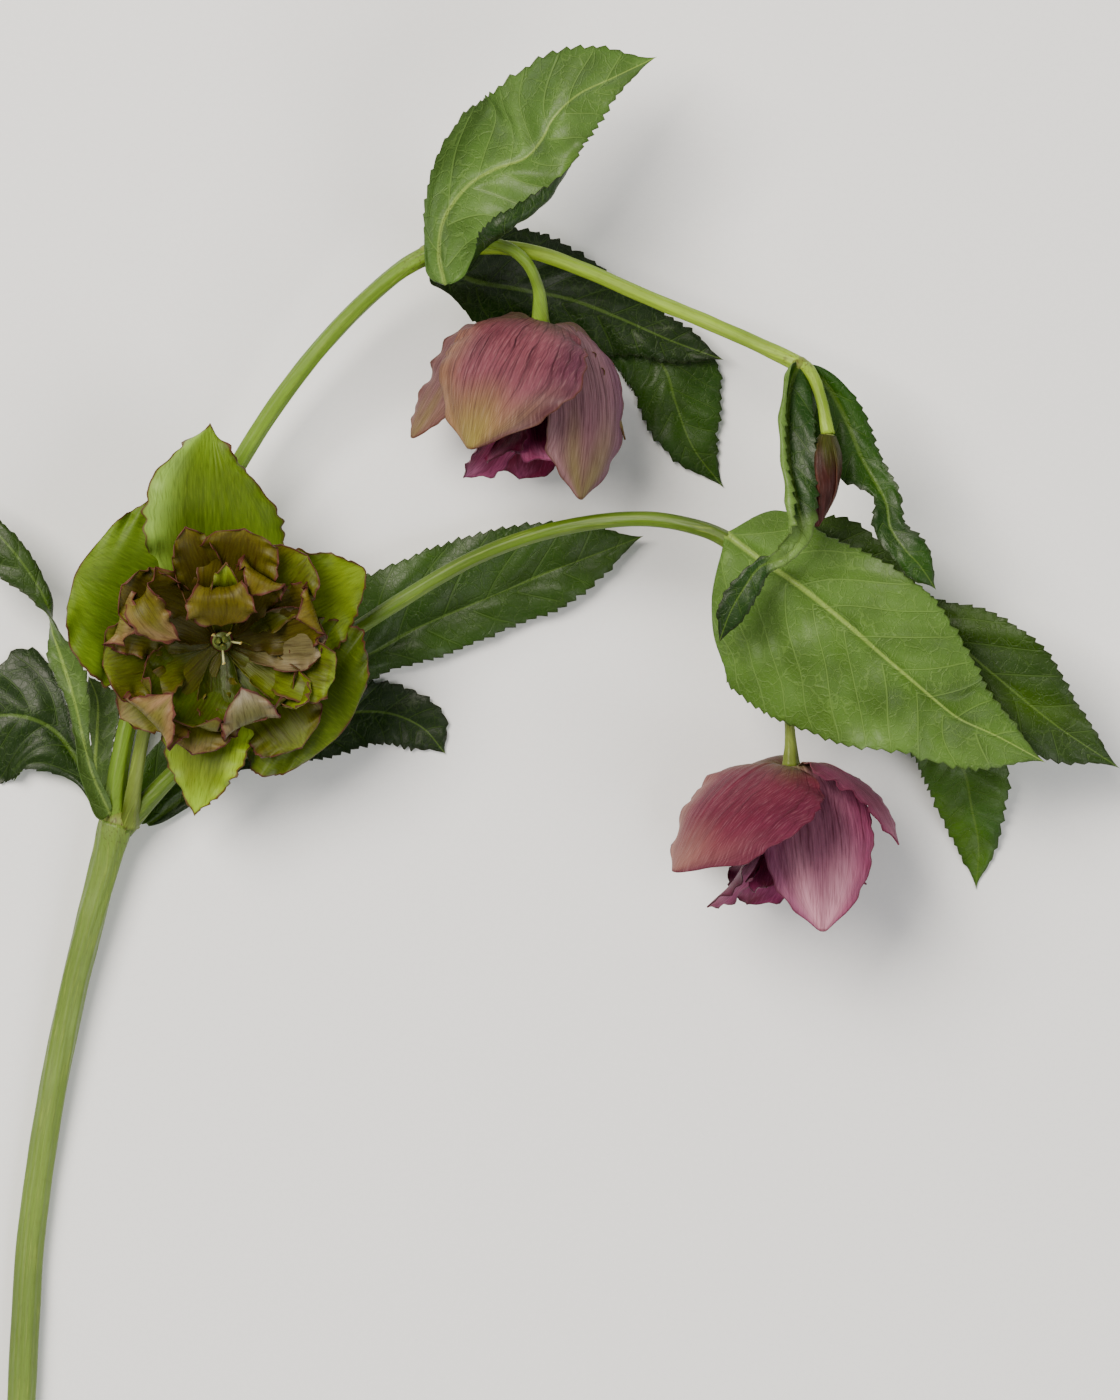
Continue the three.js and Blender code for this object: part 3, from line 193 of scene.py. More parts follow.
class Piece:
    """Gathers sheets of points and faces, and makes one mesh object of them."""

    def __init__(self, name, materials):
        self.name = name
        self.materials = materials
        self.points, self.faces, self.skins = [], [], []
        self.facts = {key: [] for key in ("surface", "fan", "rim", "veins", "tint")}
        self.count = 0

    def add(self, points, faces, skins, **facts):
        """Adds points (n, 3) in bench millimetres, faces, and a material index for each face."""
        n = len(points)
        self.points.append(points)
        self.faces += [tuple(int(k) + self.count for k in face) for face in faces]
        self.skins += list(skins)
        blank = {"surface": (n, 2), "fan": (n, 2), "rim": (n,), "veins": (n,), "tint": (n, 4)}
        for key, shape in blank.items():
            self.facts[key].append(np.asarray(facts.get(key, np.ones(shape)), float).reshape(shape))
        self.count += n

    def make(self):
        """The mesh object, in metres and in the frame's own place."""
        points = (np.concatenate(self.points) - BENCH_ORIGIN) * MM
        mesh = bpy.data.meshes.new(self.name)
        mesh.from_pydata(points.tolist(), [], self.faces)
        for material in self.materials:
            mesh.materials.append(material)
        mesh.polygons.foreach_set("material_index", self.skins)
        mesh.polygons.foreach_set("use_smooth", [True] * len(self.faces))
        corner = np.empty(len(mesh.loops), int)
        mesh.loops.foreach_get("vertex_index", corner)
        for key in ("surface", "fan"):
            layer = mesh.uv_layers.new(name=key)
            layer.data.foreach_set("uv", np.concatenate(self.facts[key])[corner].ravel())
        for key in ("rim", "veins"):
            layer = mesh.attributes.new(key, "FLOAT", "POINT")
            layer.data.foreach_set("value", np.concatenate(self.facts[key]))
        layer = mesh.attributes.new("tint", "FLOAT_COLOR", "POINT")
        layer.data.foreach_set("color", np.concatenate(self.facts["tint"]).ravel())
        mesh.update()
        thing = bpy.data.objects.new(self.name, mesh)
        bpy.context.scene.collection.objects.link(thing)
        return thing


def finish_piece(thing, slot, *nodes):
    """Says what a finished piece rides on and which nodes it stands for. slot, its finish, is not used."""
    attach(thing, "root")
    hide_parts(*nodes)
    triangles = sum(len(face.vertices) - 2 for face in thing.data.polygons)
    print(thing.name, "has", triangles, "triangles and replaces", *nodes)


# %% [markdown]
# ## Blades: the one shape behind leaves, sepals and petals
#
# A leaf and a petal are both a thin sheet that grows out on both sides of a rib. Modelling each by hand
# would take days and would look less alike than nature does, so one function makes them all. It walks
# along the rib, and at each step bends a cross-section: the halves fold up from the rib, cup evenly and
# may roll over near the margin. Lists give those angles at even places from base to tip, and the
# half widths are measured along the surface, as if the leaf were pressed flat.
#
# The CAD model has the same function with few rows. Here the rows are about 0.6 mm apart, so there is
# room for veins that stand out, a quilted blade between them and teeth along the margin.

# %% Bend a cross-section
ROLL_STARTS = 0.62  # share of a half's width
OUT_OF_STEP = 0.37  # of a wave, between a blade's two margins
NARROWEST = 0.4  # mm, half width of a blade's end
ROUND_FROM = 0.9  # of its length: from here a blade is rounded off
ROUND_BASE = 0.05  # of its length: up to here its base is rounded too
EVEN_OUT = 0.03  # of a rib's length: bends shorter than this don't turn the rows into each other
BEND_STEPS = 60


def bend_half(width, fold, cup, roll, shares):
    """Sideways and frontward places across one half, for each row: two arrays (rows, shares)."""
    fine = np.linspace(0, 1, BEND_STEPS + 1)
    middle = (fine[1:] + fine[:-1]) / 2
    angle = fold[:, None] + cup[:, None] * middle + roll[:, None] * smooth(ROLL_STARTS, 1, middle)
    out = []
    for turned in (np.cos, np.sin):
        run = np.cumsum(turned(np.radians(angle)), axis=1) / BEND_STEPS
        run = np.concatenate([np.zeros((len(fold), 1)), run], axis=1)
        out.append(np.array([np.interp(shares, fine, row) for row in run]) * width[:, None])
    return out


print("a cross-section is bent in", BEND_STEPS, "steps to each side")

# %% Lay a blade out as a grid of points
TIP_MARKS = 6  # marks between small rows that lead into the round tip
EVEN_COLUMNS = 0.45  # the rest of their spacing draws columns to the rib and to the margin
WAVES_END = 1.15  # the large waves have died out 1 / 1.15 of the way to the tip
# Shares of the length over which small unevenness grows and fades.
UNEVEN_GROWS, UNEVEN_FADES = (0.05, 0.3), (0.93, 1)
# The fewest and the most waves of the outline, and of its frill, over a blade's length.
NIBBLE_WAVES, FRILL_WAVES = (4, 22), (3, 9)
# Powers of the share of the half width: the higher, the nearer to the margin a thing stays.
NIBBLE_REACH, FRILL_REACH, WAVE_REACH = 8, 4, 2


def blade_grid(blade, step, columns, nibble=0.0, frill=0.0, seed=1):
    """A blade's middle surface: points (rows, columns, 3), and where on the blade each point is.

    nibble and frill, in mm, are how uneven the outline is and how high its smallest waves are.
    """
    rib = np.array(blade["rib"], float)
    u, length = even_steps(rib, step)
    u = np.concatenate([u[:-2], np.linspace(u[-2], 1, TIP_MARKS)[:-1]])
    at, along = track(rib, u), heading(rib, u, blade.get("even_out", EVEN_OUT))
    face = track(blade["face"], u)
    front = unit(face - along * np.sum(face * along, axis=1, keepdims=True))
    right = np.cross(along, front)
    # The columns are closest at the rib and at the margin, where the form changes fastest.
    x = np.linspace(0, 1, columns + 1)
    shares = EVEN_COLUMNS * x + (1 - EVEN_COLUMNS) * (1 - np.cos(np.pi * x)) / 2
    height, count, phase = blade.get("wave") or [0, 0, 0]
    swell = np.sin(np.pi * np.minimum(WAVES_END * u, 1))
    broad = between(UNEVEN_GROWS, UNEVEN_FADES, u)
    past = np.maximum(np.clip((u - ROUND_FROM) / (1 - ROUND_FROM), 0, 1), np.clip(1 - u / ROUND_BASE, 0, 1))
    rounded = np.sqrt(1 - past**2)
    halves = []
    for hand, key in ((-1, "left"), (1, "right")):
        width = np.maximum(track(blade[key], u) * rounded, NARROWEST * (1 - smooth(ROUND_FROM, 1, u)))
        bend = [track(blade.get(k, 0), u) for k in ("fold", "cup_" + key, "roll_" + key)]
        side, rise = bend_half(width, *bend, shares)
        # The margin is uneven, but the veins don't follow it in and out. Each margin has its own seed.
        uneven = (nibble * ripple(seed + hand, *NIBBLE_WAVES, u) * broad)[:, None] * shares**NIBBLE_REACH
        last = np.radians(sum(bend))[:, None]
        side, rise = side + uneven * np.cos(last), rise + uneven * np.sin(last)
        wave = height * swell * np.sin(2 * np.pi * (count * u + phase + (hand > 0) * OUT_OF_STEP))
        small = frill * broad * ripple(seed + 7 * hand, *FRILL_WAVES, u)
        rise = rise + wave[:, None] * shares**WAVE_REACH + small[:, None] * shares**FRILL_REACH
        points = at[:, None] + hand * side[..., None] * right[:, None] + rise[..., None] * front[:, None]
        share = np.broadcast_to(hand * shares, side.shape)
        halves.append([points, share, share * width[:, None], np.broadcast_to(width[:, None], side.shape)])
    left, right = halves
    points, share, sideways, widest = (
        np.concatenate([a[:, :0:-1], b], axis=1) for a, b in zip(left, right)
    )
    u = np.broadcast_to(u[:, None], share.shape)
    return {
        "points": points, "share": share, "sideways": sideways, "widest": widest, "u": u,
        "length": length, "tip": track(rib, 1.0),
    }


def grid_normals(points):
    """Unit normals of a grid of points, on the side that the blade's front looks to."""
    n = np.cross(np.gradient(points, axis=1), np.gradient(points, axis=0))
    return n / np.maximum(np.linalg.norm(n, axis=2, keepdims=True), 1e-9)


print("a blade's end is", 2 * NARROWEST, "mm wide before it is rounded off")

# %% [markdown]
# A sheet of no thickness has no rim and looks like paper from the side, so each blade gets a front, a
# back and a rim. Solidify could do it, but it would lose track of which side is which, and a leaf is
# dark and glossy above, pale and matt below. So the two sides are built here. They come closer towards
# the margin, as on a real leaf, and each may have its own relief.

# %% Give a blade its two sides
THIN_EDGE = 0.35  # of the thickness, at the margin
THINS_LATE = 6  # a power of the share: a blade keeps its thickness until near the margin
FLAT = np.zeros(1)


def add_blade(piece, grid, thickness, skins, tints, veins=FLAT, relief=(FLAT, FLAT)):
    """Adds a blade to a piece. skins are the material numbers of its front, back and rim."""
    points = grid["points"].copy()
    rows, columns = points.shape[:2]
    normals = grid_normals(points)
    share = np.abs(grid["share"])
    half = 0.5 * thickness * (1 - (1 - THIN_EDGE) * share**THINS_LATE)
    # What would sink into the table is pressed flat on it instead.
    bump = np.broadcast_to(np.maximum(relief[0], relief[1]), share.shape)
    points[..., 2] = np.maximum(points[..., 2], TABLE_GAP + half + np.maximum(bump, 0))
    tip = grid["tip"].copy()
    tip[2] = max(tip[2], TABLE_GAP + 0.5 * thickness)
    count = rows * columns
    last = 2 * count
    index = np.arange(count).reshape(rows, columns)
    cells = [index[:-1, :-1], index[:-1, 1:], index[1:, 1:], index[1:, :-1]]
    quads = np.stack(cells, axis=-1).reshape(-1, 4)
    ends = [[a, b] for a, b in zip(index[-1, :-1], index[-1, 1:])]
    faces = quads.tolist() + [[a, b, last] for a, b in ends]
    faces += (quads[:, ::-1] + count).tolist() + [[b + count, a + count, last] for a, b in ends]
    # The rim joins the two sides along both margins and across the base.
    loop = [*index[::-1, 0], *index[0, 1:], *index[1:, -1]]
    faces += [[b, a, a + count, b + count] for a, b in zip(loop[:-1], loop[1:])]
    faces += [[loop[0], last, loop[0] + count], [last, loop[-1], loop[-1] + count]]
    sheet = len(quads) + len(ends)
    materials = [skins[0]] * sheet + [skins[1]] * sheet + [skins[2]] * (len(loop) + 1)
    sides = []
    for sign, bulge in ((1, relief[0]), (-1, relief[1])):
        sides.append((points + sign * (half + bulge)[..., None] * normals).reshape(-1, 3))
    facts = {
        "surface": np.stack([grid["sideways"], grid["u"] * grid["length"]], axis=-1) / UV_UNIT,
        "fan": np.stack([0.5 + 0.5 * grid["share"], grid["u"]], axis=-1),
        "rim": np.minimum(grid["widest"] * (1 - share), (1 - grid["u"]) * grid["length"])[..., None],
        "veins": np.broadcast_to(veins, share.shape)[..., None],
    }
    ready = {}
    for key, values in facts.items():
        flat = values.reshape(count, -1)
        ready[key] = np.concatenate([flat, flat, flat[-columns:].mean(axis=0)[None]])
    tints = [t.reshape(count, 4) for t in tints]
    ready["tint"] = np.concatenate([tints[0], tints[1], tints[0][-columns:].mean(axis=0)[None]])
    piece.add(np.concatenate([*sides, tip[None]]), faces, materials, **ready)


print("a blade keeps to at least", TABLE_GAP, "mm above the table")

# %% [markdown]
# ## The leaves' forms
#
# A hellebore's stem leaves are leathery, toothed and never flat. Each list below was laid out for one
# leaf: where its rib runs, which way its front looks on the way, how wide its halves are and how they
# bend. `shows` marks the four that are seen from below, because the leaf has turned over. `twisted` is
# a stretch of the length where the upper side is painted in the underside's pale greens, though the leaf
# doesn't turn there, and `even_out` widens the way over which a sharp bend is taken. `upper` and
# `under` are the greens of the two sides, a deep one and a light one.

# %% Thirteen leaves
UP, DOWN = [0, 0, 1], [0, 0, -1]
LEAVES = {
    "leaf_fork_twisted": {
        "rib": [
            [24.4, 128.9, 10.4], [20.5, 138.2, 15], [18.7, 146.3, 17], [17.2, 154, 18.5], [14.5, 162.8, 19],
            [12.5, 170.3, 19], [10.1, 177.3, 18.5], [4.4, 185.7, 18], [-2.6, 193.2, 17], [-12.1, 201.1, 14],
        ],
        "face": [
            [0.5, -0.2, 1], [0.4, 0, 1], [0.2, 0, 1], UP, [-0.2, 0.1, 1], [-1, 0.2, 0.1], [-0.3, 0.2, -1],
            *[DOWN] * 3,
        ],
        "left": [6.2, 4.7, 2.2, 1.8, 3, 2.4, 1.9, 2.6, 2, 0],
        "right": [1.8, 1.5, 1.8, 3.4, 4, 2.4, 2.6, 6.2, 5.2, 0], "fold": [30, 30, 24, 16, 12, 0, 6, 6, 4, 0],
        "cup_left": [20, 20, 10, 0, 0, 0, 10, 10, 0, 0], "wave": [0.45, 2, 0], "shows": "underside",
        "upper": ("183000", "304c10"), "under": ("34501a", "4c6828"),
    },
    "leaf_fork_broad": {
        "rib": [
            [24, 128.6, 5.6], [17.6, 139.9, 4], [11.9, 147.4, 3.6], [4.4, 150.5, 3.4], [-4.8, 150, 2.8],
            [-15.4, 147.8, 1.4], [-25.3, 144.8, -0.1],
        ],
        "face": [[0.1, 0.1, 1], [0.1, 0.1, 1], *[UP] * 5], "left": [2, 3, 9.1, 12.9, 13.9, 14.6, 14, 9.9, 0],
        "right": [2, 4.5, 2.1, 7.1, 14.9, 7.3, 6.1, 3.8, 0], "fold": [12, 8, 4, -4, -6, -4, 0],
        "cup_left": -8, "cup_right": -8, "wave": [0.9, 2.2, 0.3], "upper": ("071e00", "132c00"),
    },
    "leaf_fork_back": {
        "rib": [
            [22.2, 129.4, 7.4], [21.3, 138.6, 8.6], [21.8, 147.4, 9], [21.8, 154, 9], [19.8, 159.3, 8.6],
        ],
        "face": [*[UP] * 5], "left": [0.8, 0.8, 1.2, 2.2, 2.2, 0], "right": [3.7, 3.7, 3.6, 4.4, 3.4, 0],
        "fold": [24, 20, 10, 6, 0], "wave": [0.3, 1, 0.2], "shows": "underside",
        "upper": ("1a3300", "334d14"), "under": ("30481a", "446024"),
    },
    "leaf_fork_long": {
        "rib": [
            [31.2, 126.9, 5], [36.3, 134.2, 4.6], [45.8, 143.2, 4.2], [57.9, 152, 4], [70.4, 158.8, 3.8],
            [81.8, 164.3, 3.6], [92.8, 170.3, 3.6], [106.3, 176, 3.6], [119.7, 181.7, 4],
            [130.2, 185.7, 4.2], [141.7, 190.1, 4],
        ],
        "face": [
            [0, 0.1, 1], [0, 0.1, 1], *[UP] * 3, [0, -0.05, 1], [0, -0.1, 1], [0, -0.1, 1], [0, -0.1, 1],
            [0, -0.05, 1], UP,
        ],
        "left": [2.9, 7.5, 8.8, 10.9, 13.7, 15.3, 14.9, 14.4, 11.6, 7.4, 0],
        "right": [1.8, 3.2, 5.6, 7.9, 6.6, 5, 7.5, 7.7, 8, 5.1, 0],
        "fold": [16, 18, 18, 18, 18, 18, 18, 16, 14, 10, 0],
        "cup_left": [-10, -14, -22, -26, -26, -26, -26, -24, -20, -10, 0],
        "cup_right": [-20, -24, -26, -28, -28, -28, -28, -26, -20, -10, 0], "wave": [0.55, 2.6, 0.1],
        "upper": ("183400", "2f4e0a"),
    },
    "leaf_fork_dark": {
        "rib": [
            [32.6, 126.7, 3.4], [44.4, 135.5, 1.6], [57.2, 144.8, 1.1], [70.4, 150, 1.1], [83.2, 151.4, 1.2],
            [92.4, 148.3, 1.2], [98.1, 142.1, 0.7],
        ],
        "face": [*[UP] * 7], "left": [1.6, 4, 9.4, 9.3, 8.2, 6.5, 6.1, 5, 0],
        "right": [1.5, 2.5, 2.7, 6.8, 8.6, 7.2, 6.2, 4.7, 0], "fold": [6, 2, 0, 0, 0, 0, 0], "cup_left": 4,
        "cup_right": 4, "wave": [0.35, 2, 0.6], "upper": ("051a00", "0f2a00"),
    },
    "leaf_top_front": {
        "rib": [
            [98.1, 244.2, 29.4], [96.8, 251.2, 30.5], [98.1, 258.7, 32.4], [103.2, 265.5, 34.6],
            [109.1, 269.1, 36], [115.7, 271.5, 36.6], [119.2, 275.4, 37], [121.9, 280.3, 37],
            [127.2, 285.3, 36.4], [134.6, 288.9, 35], [144.3, 293.7, 32],
        ],
        "face": [[0.1, 0, 1], [0.1, 0, 1], [0.05, 0.05, 1], *[UP] * 8],
        "left": [4.1, 3.3, 4.9, 9.9, 14.5, 15.9, 15, 12.6, 10.4, 7.4, 0],
        "right": [2.5, 10.5, 17, 20, 19.4, 14, 9.4, 8.5, 7.5, 3.3, 0],
        "fold": [6, 6, 8, 8, 8, 6, 4, 4, 4, 2, 0], "cup_left": [10, 20, 30, 34, 30, 24, 18, 12, 6, 0, 0],
        "cup_right": [10, 20, 34, 40, 36, 24, 6, -8, -8, -4, 0],
        "roll_right": [40, 110, 150, 165, 165, 140, 60, 10, 0, 0, 0], "wave": [0.8, 2.4, 0.15],
        "shows": "underside", "upper": ("051c00", "163a00"), "under": ("38581a", "547632"), "even_out": 0.13,
    },
    "leaf_top_dark": {
        "rib": [
            [95.9, 249.5, 24.6], [104.3, 245.7, 16], [114.4, 244, 9.6], [125.8, 241.8, 6.4],
            [136.8, 237.6, 5.6], [147.8, 232.8, 5.4], [159.3, 228.6, 5.4],
        ],
        "face": [[-0.3, 0, 1], [-0.3, 0, 1], [-0.2, -0.1, 1], [-0.1, 0, 1], *[UP] * 3],
        "left": [6.8, 11.6, 12.7, 12.6, 10, 6.9, 5.2, 3.5, 0],
        "right": [5.1, 5.1, 9.9, 11.7, 11.7, 9.8, 5.9, 3.6, 0], "fold": [6, 0, -4, -6, -6, -4, 0],
        "cup_left": [0, -6, -10, -10, -8, -6, 0], "cup_right": [0, -6, -10, -10, -8, -6, 0],
        "wave": [0.5, 2, 0.4], "upper": ("051a00", "102a00"),
    },
    "leaf_top_drooping": {
        "rib": [
            [95.5, 248.6, 22.6], [105.2, 242, 10], [116.6, 237.2, 4], [128.7, 234.5, 2.4],
            [139.9, 232.3, 2.2], [146.1, 227, 2.4], [148.7, 219.1, 2.4], [152.5, 209.4, 2],
            [159.3, 200.6, -0.1],
        ],
        "face": [[-0.5, 0, 0.9], [-0.4, 0, 0.9], [-0.2, 0, 1], *[UP] * 6],
        "left": [3.1, 3, 3.1, 3.4, 3.8, 5, 9, 11, 8.7, 4.6, 0],
        "right": [2.2, 2.1, 2.4, 3, 3.3, 7.5, 8.3, 7.8, 6.9, 3.8, 0],
        "fold": [4, 4, 4, 2, -2, -4, -4, -4, -2, -2, 0], "wave": [0.4, 2, 0.1],
        "upper": ("113300", "2a4a00"),
    },
    "leaf_right_front": {
        "rib": [
            [159.9, 189.6, 32], [166.5, 184.6, 34], [173.4, 180, 35], [179.5, 175.3, 35.6],
            [185.9, 170.1, 36], [192.1, 164.6, 36], [198.9, 158.8, 35.6], [205, 153.6, 35],
            [210.1, 149.8, 34], [218.2, 146.1, 32.6], [228.8, 140.4, 30],
        ],
        "face": [[-0.1, 0.1, 1], [-0.1, 0.1, 1], *[UP] * 9],
        "left": [9.4, 13.5, 12.6, 14.4, 15.9, 16.6, 14.5, 11.8, 9.4, 4.9, 0],
        "right": [7.4, 21, 27, 28.1, 26.7, 23.7, 19.6, 13.7, 10.4, 7.6, 0],
        "fold": [-4, -6, -6, -6, -4, -4, -2, 0, 0, 0, 0],
        "cup_left": [-30, -24, -16, -10, -6, -4, 0, 2, 2, 0, 0],
        "cup_right": [-40, -36, -30, -26, -24, -20, -14, -8, -4, 0, 0], "wave": [0.7, 2.3, 0.2],
        "shows": "underside", "upper": ("0d2600", "1e3a04"), "under": ("325208", "50722a"),
    },
    "leaf_right_far": {
        "rib": [
            [163.2, 186.1, 26], [173.4, 184.8, 25], [184.4, 181.7, 24], [195.4, 176, 24], [206.8, 168.5, 25],
            [218.2, 159.1, 25.4], [231, 148.7, 24], [245.5, 139, 20.5],
        ],
        "face": [[0, 0.1, 1], [0, 0.1, 1], *[UP] * 6], "left": [2.8, 6.9, 11.2, 8.5, 4.8, 10, 11.2, 6, 0],
        "right": [2.4, 5.7, 8.9, 10.6, 11.5, 12.6, 12.3, 7.2, 0], "fold": [8, 6, 4, 4, 4, 4, 2, 0],
        "cup_left": [0, -4, -6, 0, 10, 12, 8, 0], "cup_right": [0, 0, -4, -8, -8, -8, -4, 0],
        "wave": [0.5, 2, 0.5], "upper": ("142e00", "2e4a00"),
    },
    "leaf_right_drooping": {
        "rib": [
            [162.8, 185.2, 24.4], [173.8, 176, 20], [186.1, 165.9, 16.4], [198, 155.8, 13], [207.2, 147, 10],
            [211.9, 138.2, 7], [213.6, 130.2, 4.6], [215.2, 121.9, 2.2], [214.7, 112.4, -0.1],
        ],
        "face": [
            [-0.1, 0.2, 1], [-0.1, 0.2, 1], [-0.1, 0.2, 1], [0, 0.2, 1], [0, 0.2, 1], [0, 0.15, 1],
            *[UP] * 3,
        ],
        "left": [2, 2.9, 4, 5.5, 7.3, 9.8, 9.1, 6.8, 3.5, 0],
        "right": [2.2, 3.3, 4, 5.7, 7.6, 8.5, 8.1, 6.4, 4.3, 0], "fold": [6, 6, 4, 2, -2, -4, -4, -2, -2, 0],
        "cup_left": -6, "cup_right": -6, "wave": [0.4, 2, 0.7], "upper": ("224800", "466a12"),
    },
    "leaf_bud_left": {
        "rib": [
            [174.9, 227, 32], [173.1, 221.8, 34.6], [172.3, 213.4, 37.6], [172.9, 204.6, 40],
            [174.5, 196.7, 42], [175.3, 190.1, 43], [171.8, 185, 43.6], [166.5, 182.8, 43.6],
            [163, 178.2, 43], [159.9, 172.7, 42], [157.5, 166.1, 40],
        ],
        "face": [
            [0.3, 0, 1], [0.3, 0, 1], [0.2, 0, 1], [0.2, 0, 1], [0.2, 0, 1], [0.2, -0.1, 1], [0, -0.2, 1],
            *[UP] * 4,
        ],
        "left": [2.7, 4.5, 5.8, 6, 4.9, 3.2, 1.9, 1.7, 2.7, 3.4, 2.9, 0],
        "right": [2.2, 4.6, 5, 5.4, 5.4, 5.8, 4, 1.8, 1.9, 2.8, 2.5, 0],
        "fold": [20, 24, 24, 24, 20, 14, 6, 4, 4, 4, 4, 0],
        "cup_right": [20, 50, 70, 76, 76, 60, 30, 0, 0, 0, 0, 0],
        "roll_right": [40, 90, 110, 110, 110, 100, 50, 0, 0, 0, 0, 0], "wave": [0.2, 2, 0],
        "upper": ("072400", "143a00"), "twisted": (0.42, 0.69),
    },
    "leaf_bud_right": {
        "rib": [
            [176.2, 226.6, 31], [181.3, 222.2, 30.8], [185.5, 214.7, 30.2], [188.5, 207.2, 30.6],
            [191.6, 201.5, 32], [194, 196.7, 34], [194.9, 191.4, 35.8], [198, 186.6, 36.8], [201.3, 183, 37],
            [204.8, 177.8, 36],
        ],
        "face": [[-0.2, -0.2, 1], [-0.2, 0, 1], [-0.2, 0, 1], *[UP] * 7],
        "left": [1.5, 2.8, 4, 4, 3.5, 3.5, 3.1, 3.3, 4.3, 2.7, 0],
        "right": [3.1, 7, 9, 9.7, 5, 2, 3.2, 3.3, 3.1, 3.3, 0],
        "fold": [14, 12, 8, 6, 8, 10, 12, 6, 4, 2, 0],
        "cup_left": [-20, -36, -36, -24, -10, 0, 0, 0, 0, 0, 0], "wave": [0.3, 2.6, 0.1],
        "upper": ("0b2c00", "224800"),
    },
}
print(len(LEAVES), "leaves")

# %% [markdown]
# ## Veins, quilting and teeth
#
# The midrib is a channel in the upper side and a strong ridge on the underside. Side veins leave it at
# about forty-five degrees and sweep forward, and the blade between is quilted and a little crumpled,
# because it grows faster than its veins. All of that is real relief here, since the leaf is seen in
# raking light. The finest net of veins is left to the materials.
#
# The teeth are made of the rows themselves: every fourth row steps back, so each tooth has a long back
# and a short front and points to the tip.

# %% Relief of a leaf
LEAF_STEP = 0.62  # mm between rows
LEAF_THICKNESS = 0.5
VEIN_SLANT, VEIN_SWEEP = 1.0, 0.014  # mm forward for each mm outwards, and for its square
# Slow waves keep veins from being straight. Each: mm, radians for each mm out and along.
VEIN_WAVES = ((0.7, 0.21, 0.13), (0.4, 0.47, -0.2))
CRUMPLE = 0.5  # mm, on a leaf with a strong midrib
CRUMPLE_WAVES = ((0.42, 0.1), (0.3, -0.17))  # radians for each mm
CRUMPLE_GROWS, CRUMPLE_FADES = (0.05, 0.2), (0.8, 1)  # shares of the length
# How far things are sunk into a leaf's upper side or raised from it, and from its underside, in mm.
QUILT_UP, MIDRIB_SUNK, VEIN_SUNK = 0.34, 0.3, 0.12
QUILT_DOWN, MIDRIB_RAISED, VEIN_RAISED = 0.32, 0.75, 0.16
VEIN_WIDTH = 0.4  # mm
ACROSS_VEINS = 0.7  # mm across the veins for each mm along the rib, as they leave it on a slant


def side_veins(grid, spacing, seed):
    """Numbers that are whole on each side vein, counted along the rib."""
    x = np.abs(grid["sideways"])
    hand = np.sign(grid["share"])
    along = grid["u"] * grid["length"]
    wobble = 0
    for k, (height, out, on) in enumerate(VEIN_WAVES):
        wobble = wobble + height * np.sin(out * x + on * along + (k + 1) * seed)
    start = along - VEIN_SLANT * x - VEIN_SWEEP * x**2 + wobble
    # The veins of the two halves are out of step.
    return start / spacing + np.where(hand > 0, 0.5, 0.0) * smooth(0, 1.5, x)


def ridge(distance, width):
    """A rounded ridge: 1 on the line, 0 beyond about twice its width."""
    return np.exp(-((distance / width) ** 2))


def leaf_relief(grid, veins, spacing, size, seed):
    """How far the front and the back stand out, in mm, on a leaf with a strong (1) or weak midrib."""
    x = np.abs(grid["sideways"])
    share = np.abs(grid["share"])
    along = grid["u"] * grid["length"]
    # The whole blade is a little crumpled, so both of its sides go up and down together.
    (out, on), (on_too, out_too) = CRUMPLE_WAVES
    crumple = np.sin(out * grid["sideways"] + on * along + seed)
    crumple *= np.sin(on_too * along + out_too * x + 2 * seed)
    crumple *= CRUMPLE * size * between(CRUMPLE_GROWS, CRUMPLE_FADES, grid["u"])
    taper = 1 - 0.75 * grid["u"]
    midrib = ridge(x, 0.35 + 0.75 * size * taper) * taper
    off = np.abs(veins - np.round(veins)) * spacing * ACROSS_VEINS
    lateral = ridge(off, VEIN_WIDTH) * smooth(1.2, 0.4, share) * (1 - smooth(0.75, 1, share))
    quilt = np.sin(np.pi * veins) ** 2 * smooth(0.3, 3, x) * (1 - smooth(0.7, 1, share))
    up = crumple + QUILT_UP * quilt - MIDRIB_SUNK * midrib * size - VEIN_SUNK * lateral
    down = -crumple - QUILT_DOWN * quilt + MIDRIB_RAISED * midrib * size + VEIN_RAISED * lateral
    return up, down


print("a strong midrib stands out by", MIDRIB_RAISED, "mm on the underside")

# %% Teeth
ROWS_PER_TOOTH = 4
TOOTH = 0.8  # mm
TOOTH_SIZES = (0.55, 1.15)  # of that, as they differ
TOOTH_LEAN = 0.35  # how far a tooth points forward for each mm that it stands out
TOOTH_ROOT = 0.86  # of the half width: from here on the blade is drawn out with its teeth
TEETH_BEGIN, TEETH_END = (0.12, 0.22), (0.96, 0.995)  # shares of the length
HALF_TOOTH = ROWS_PER_TOOTH // 2


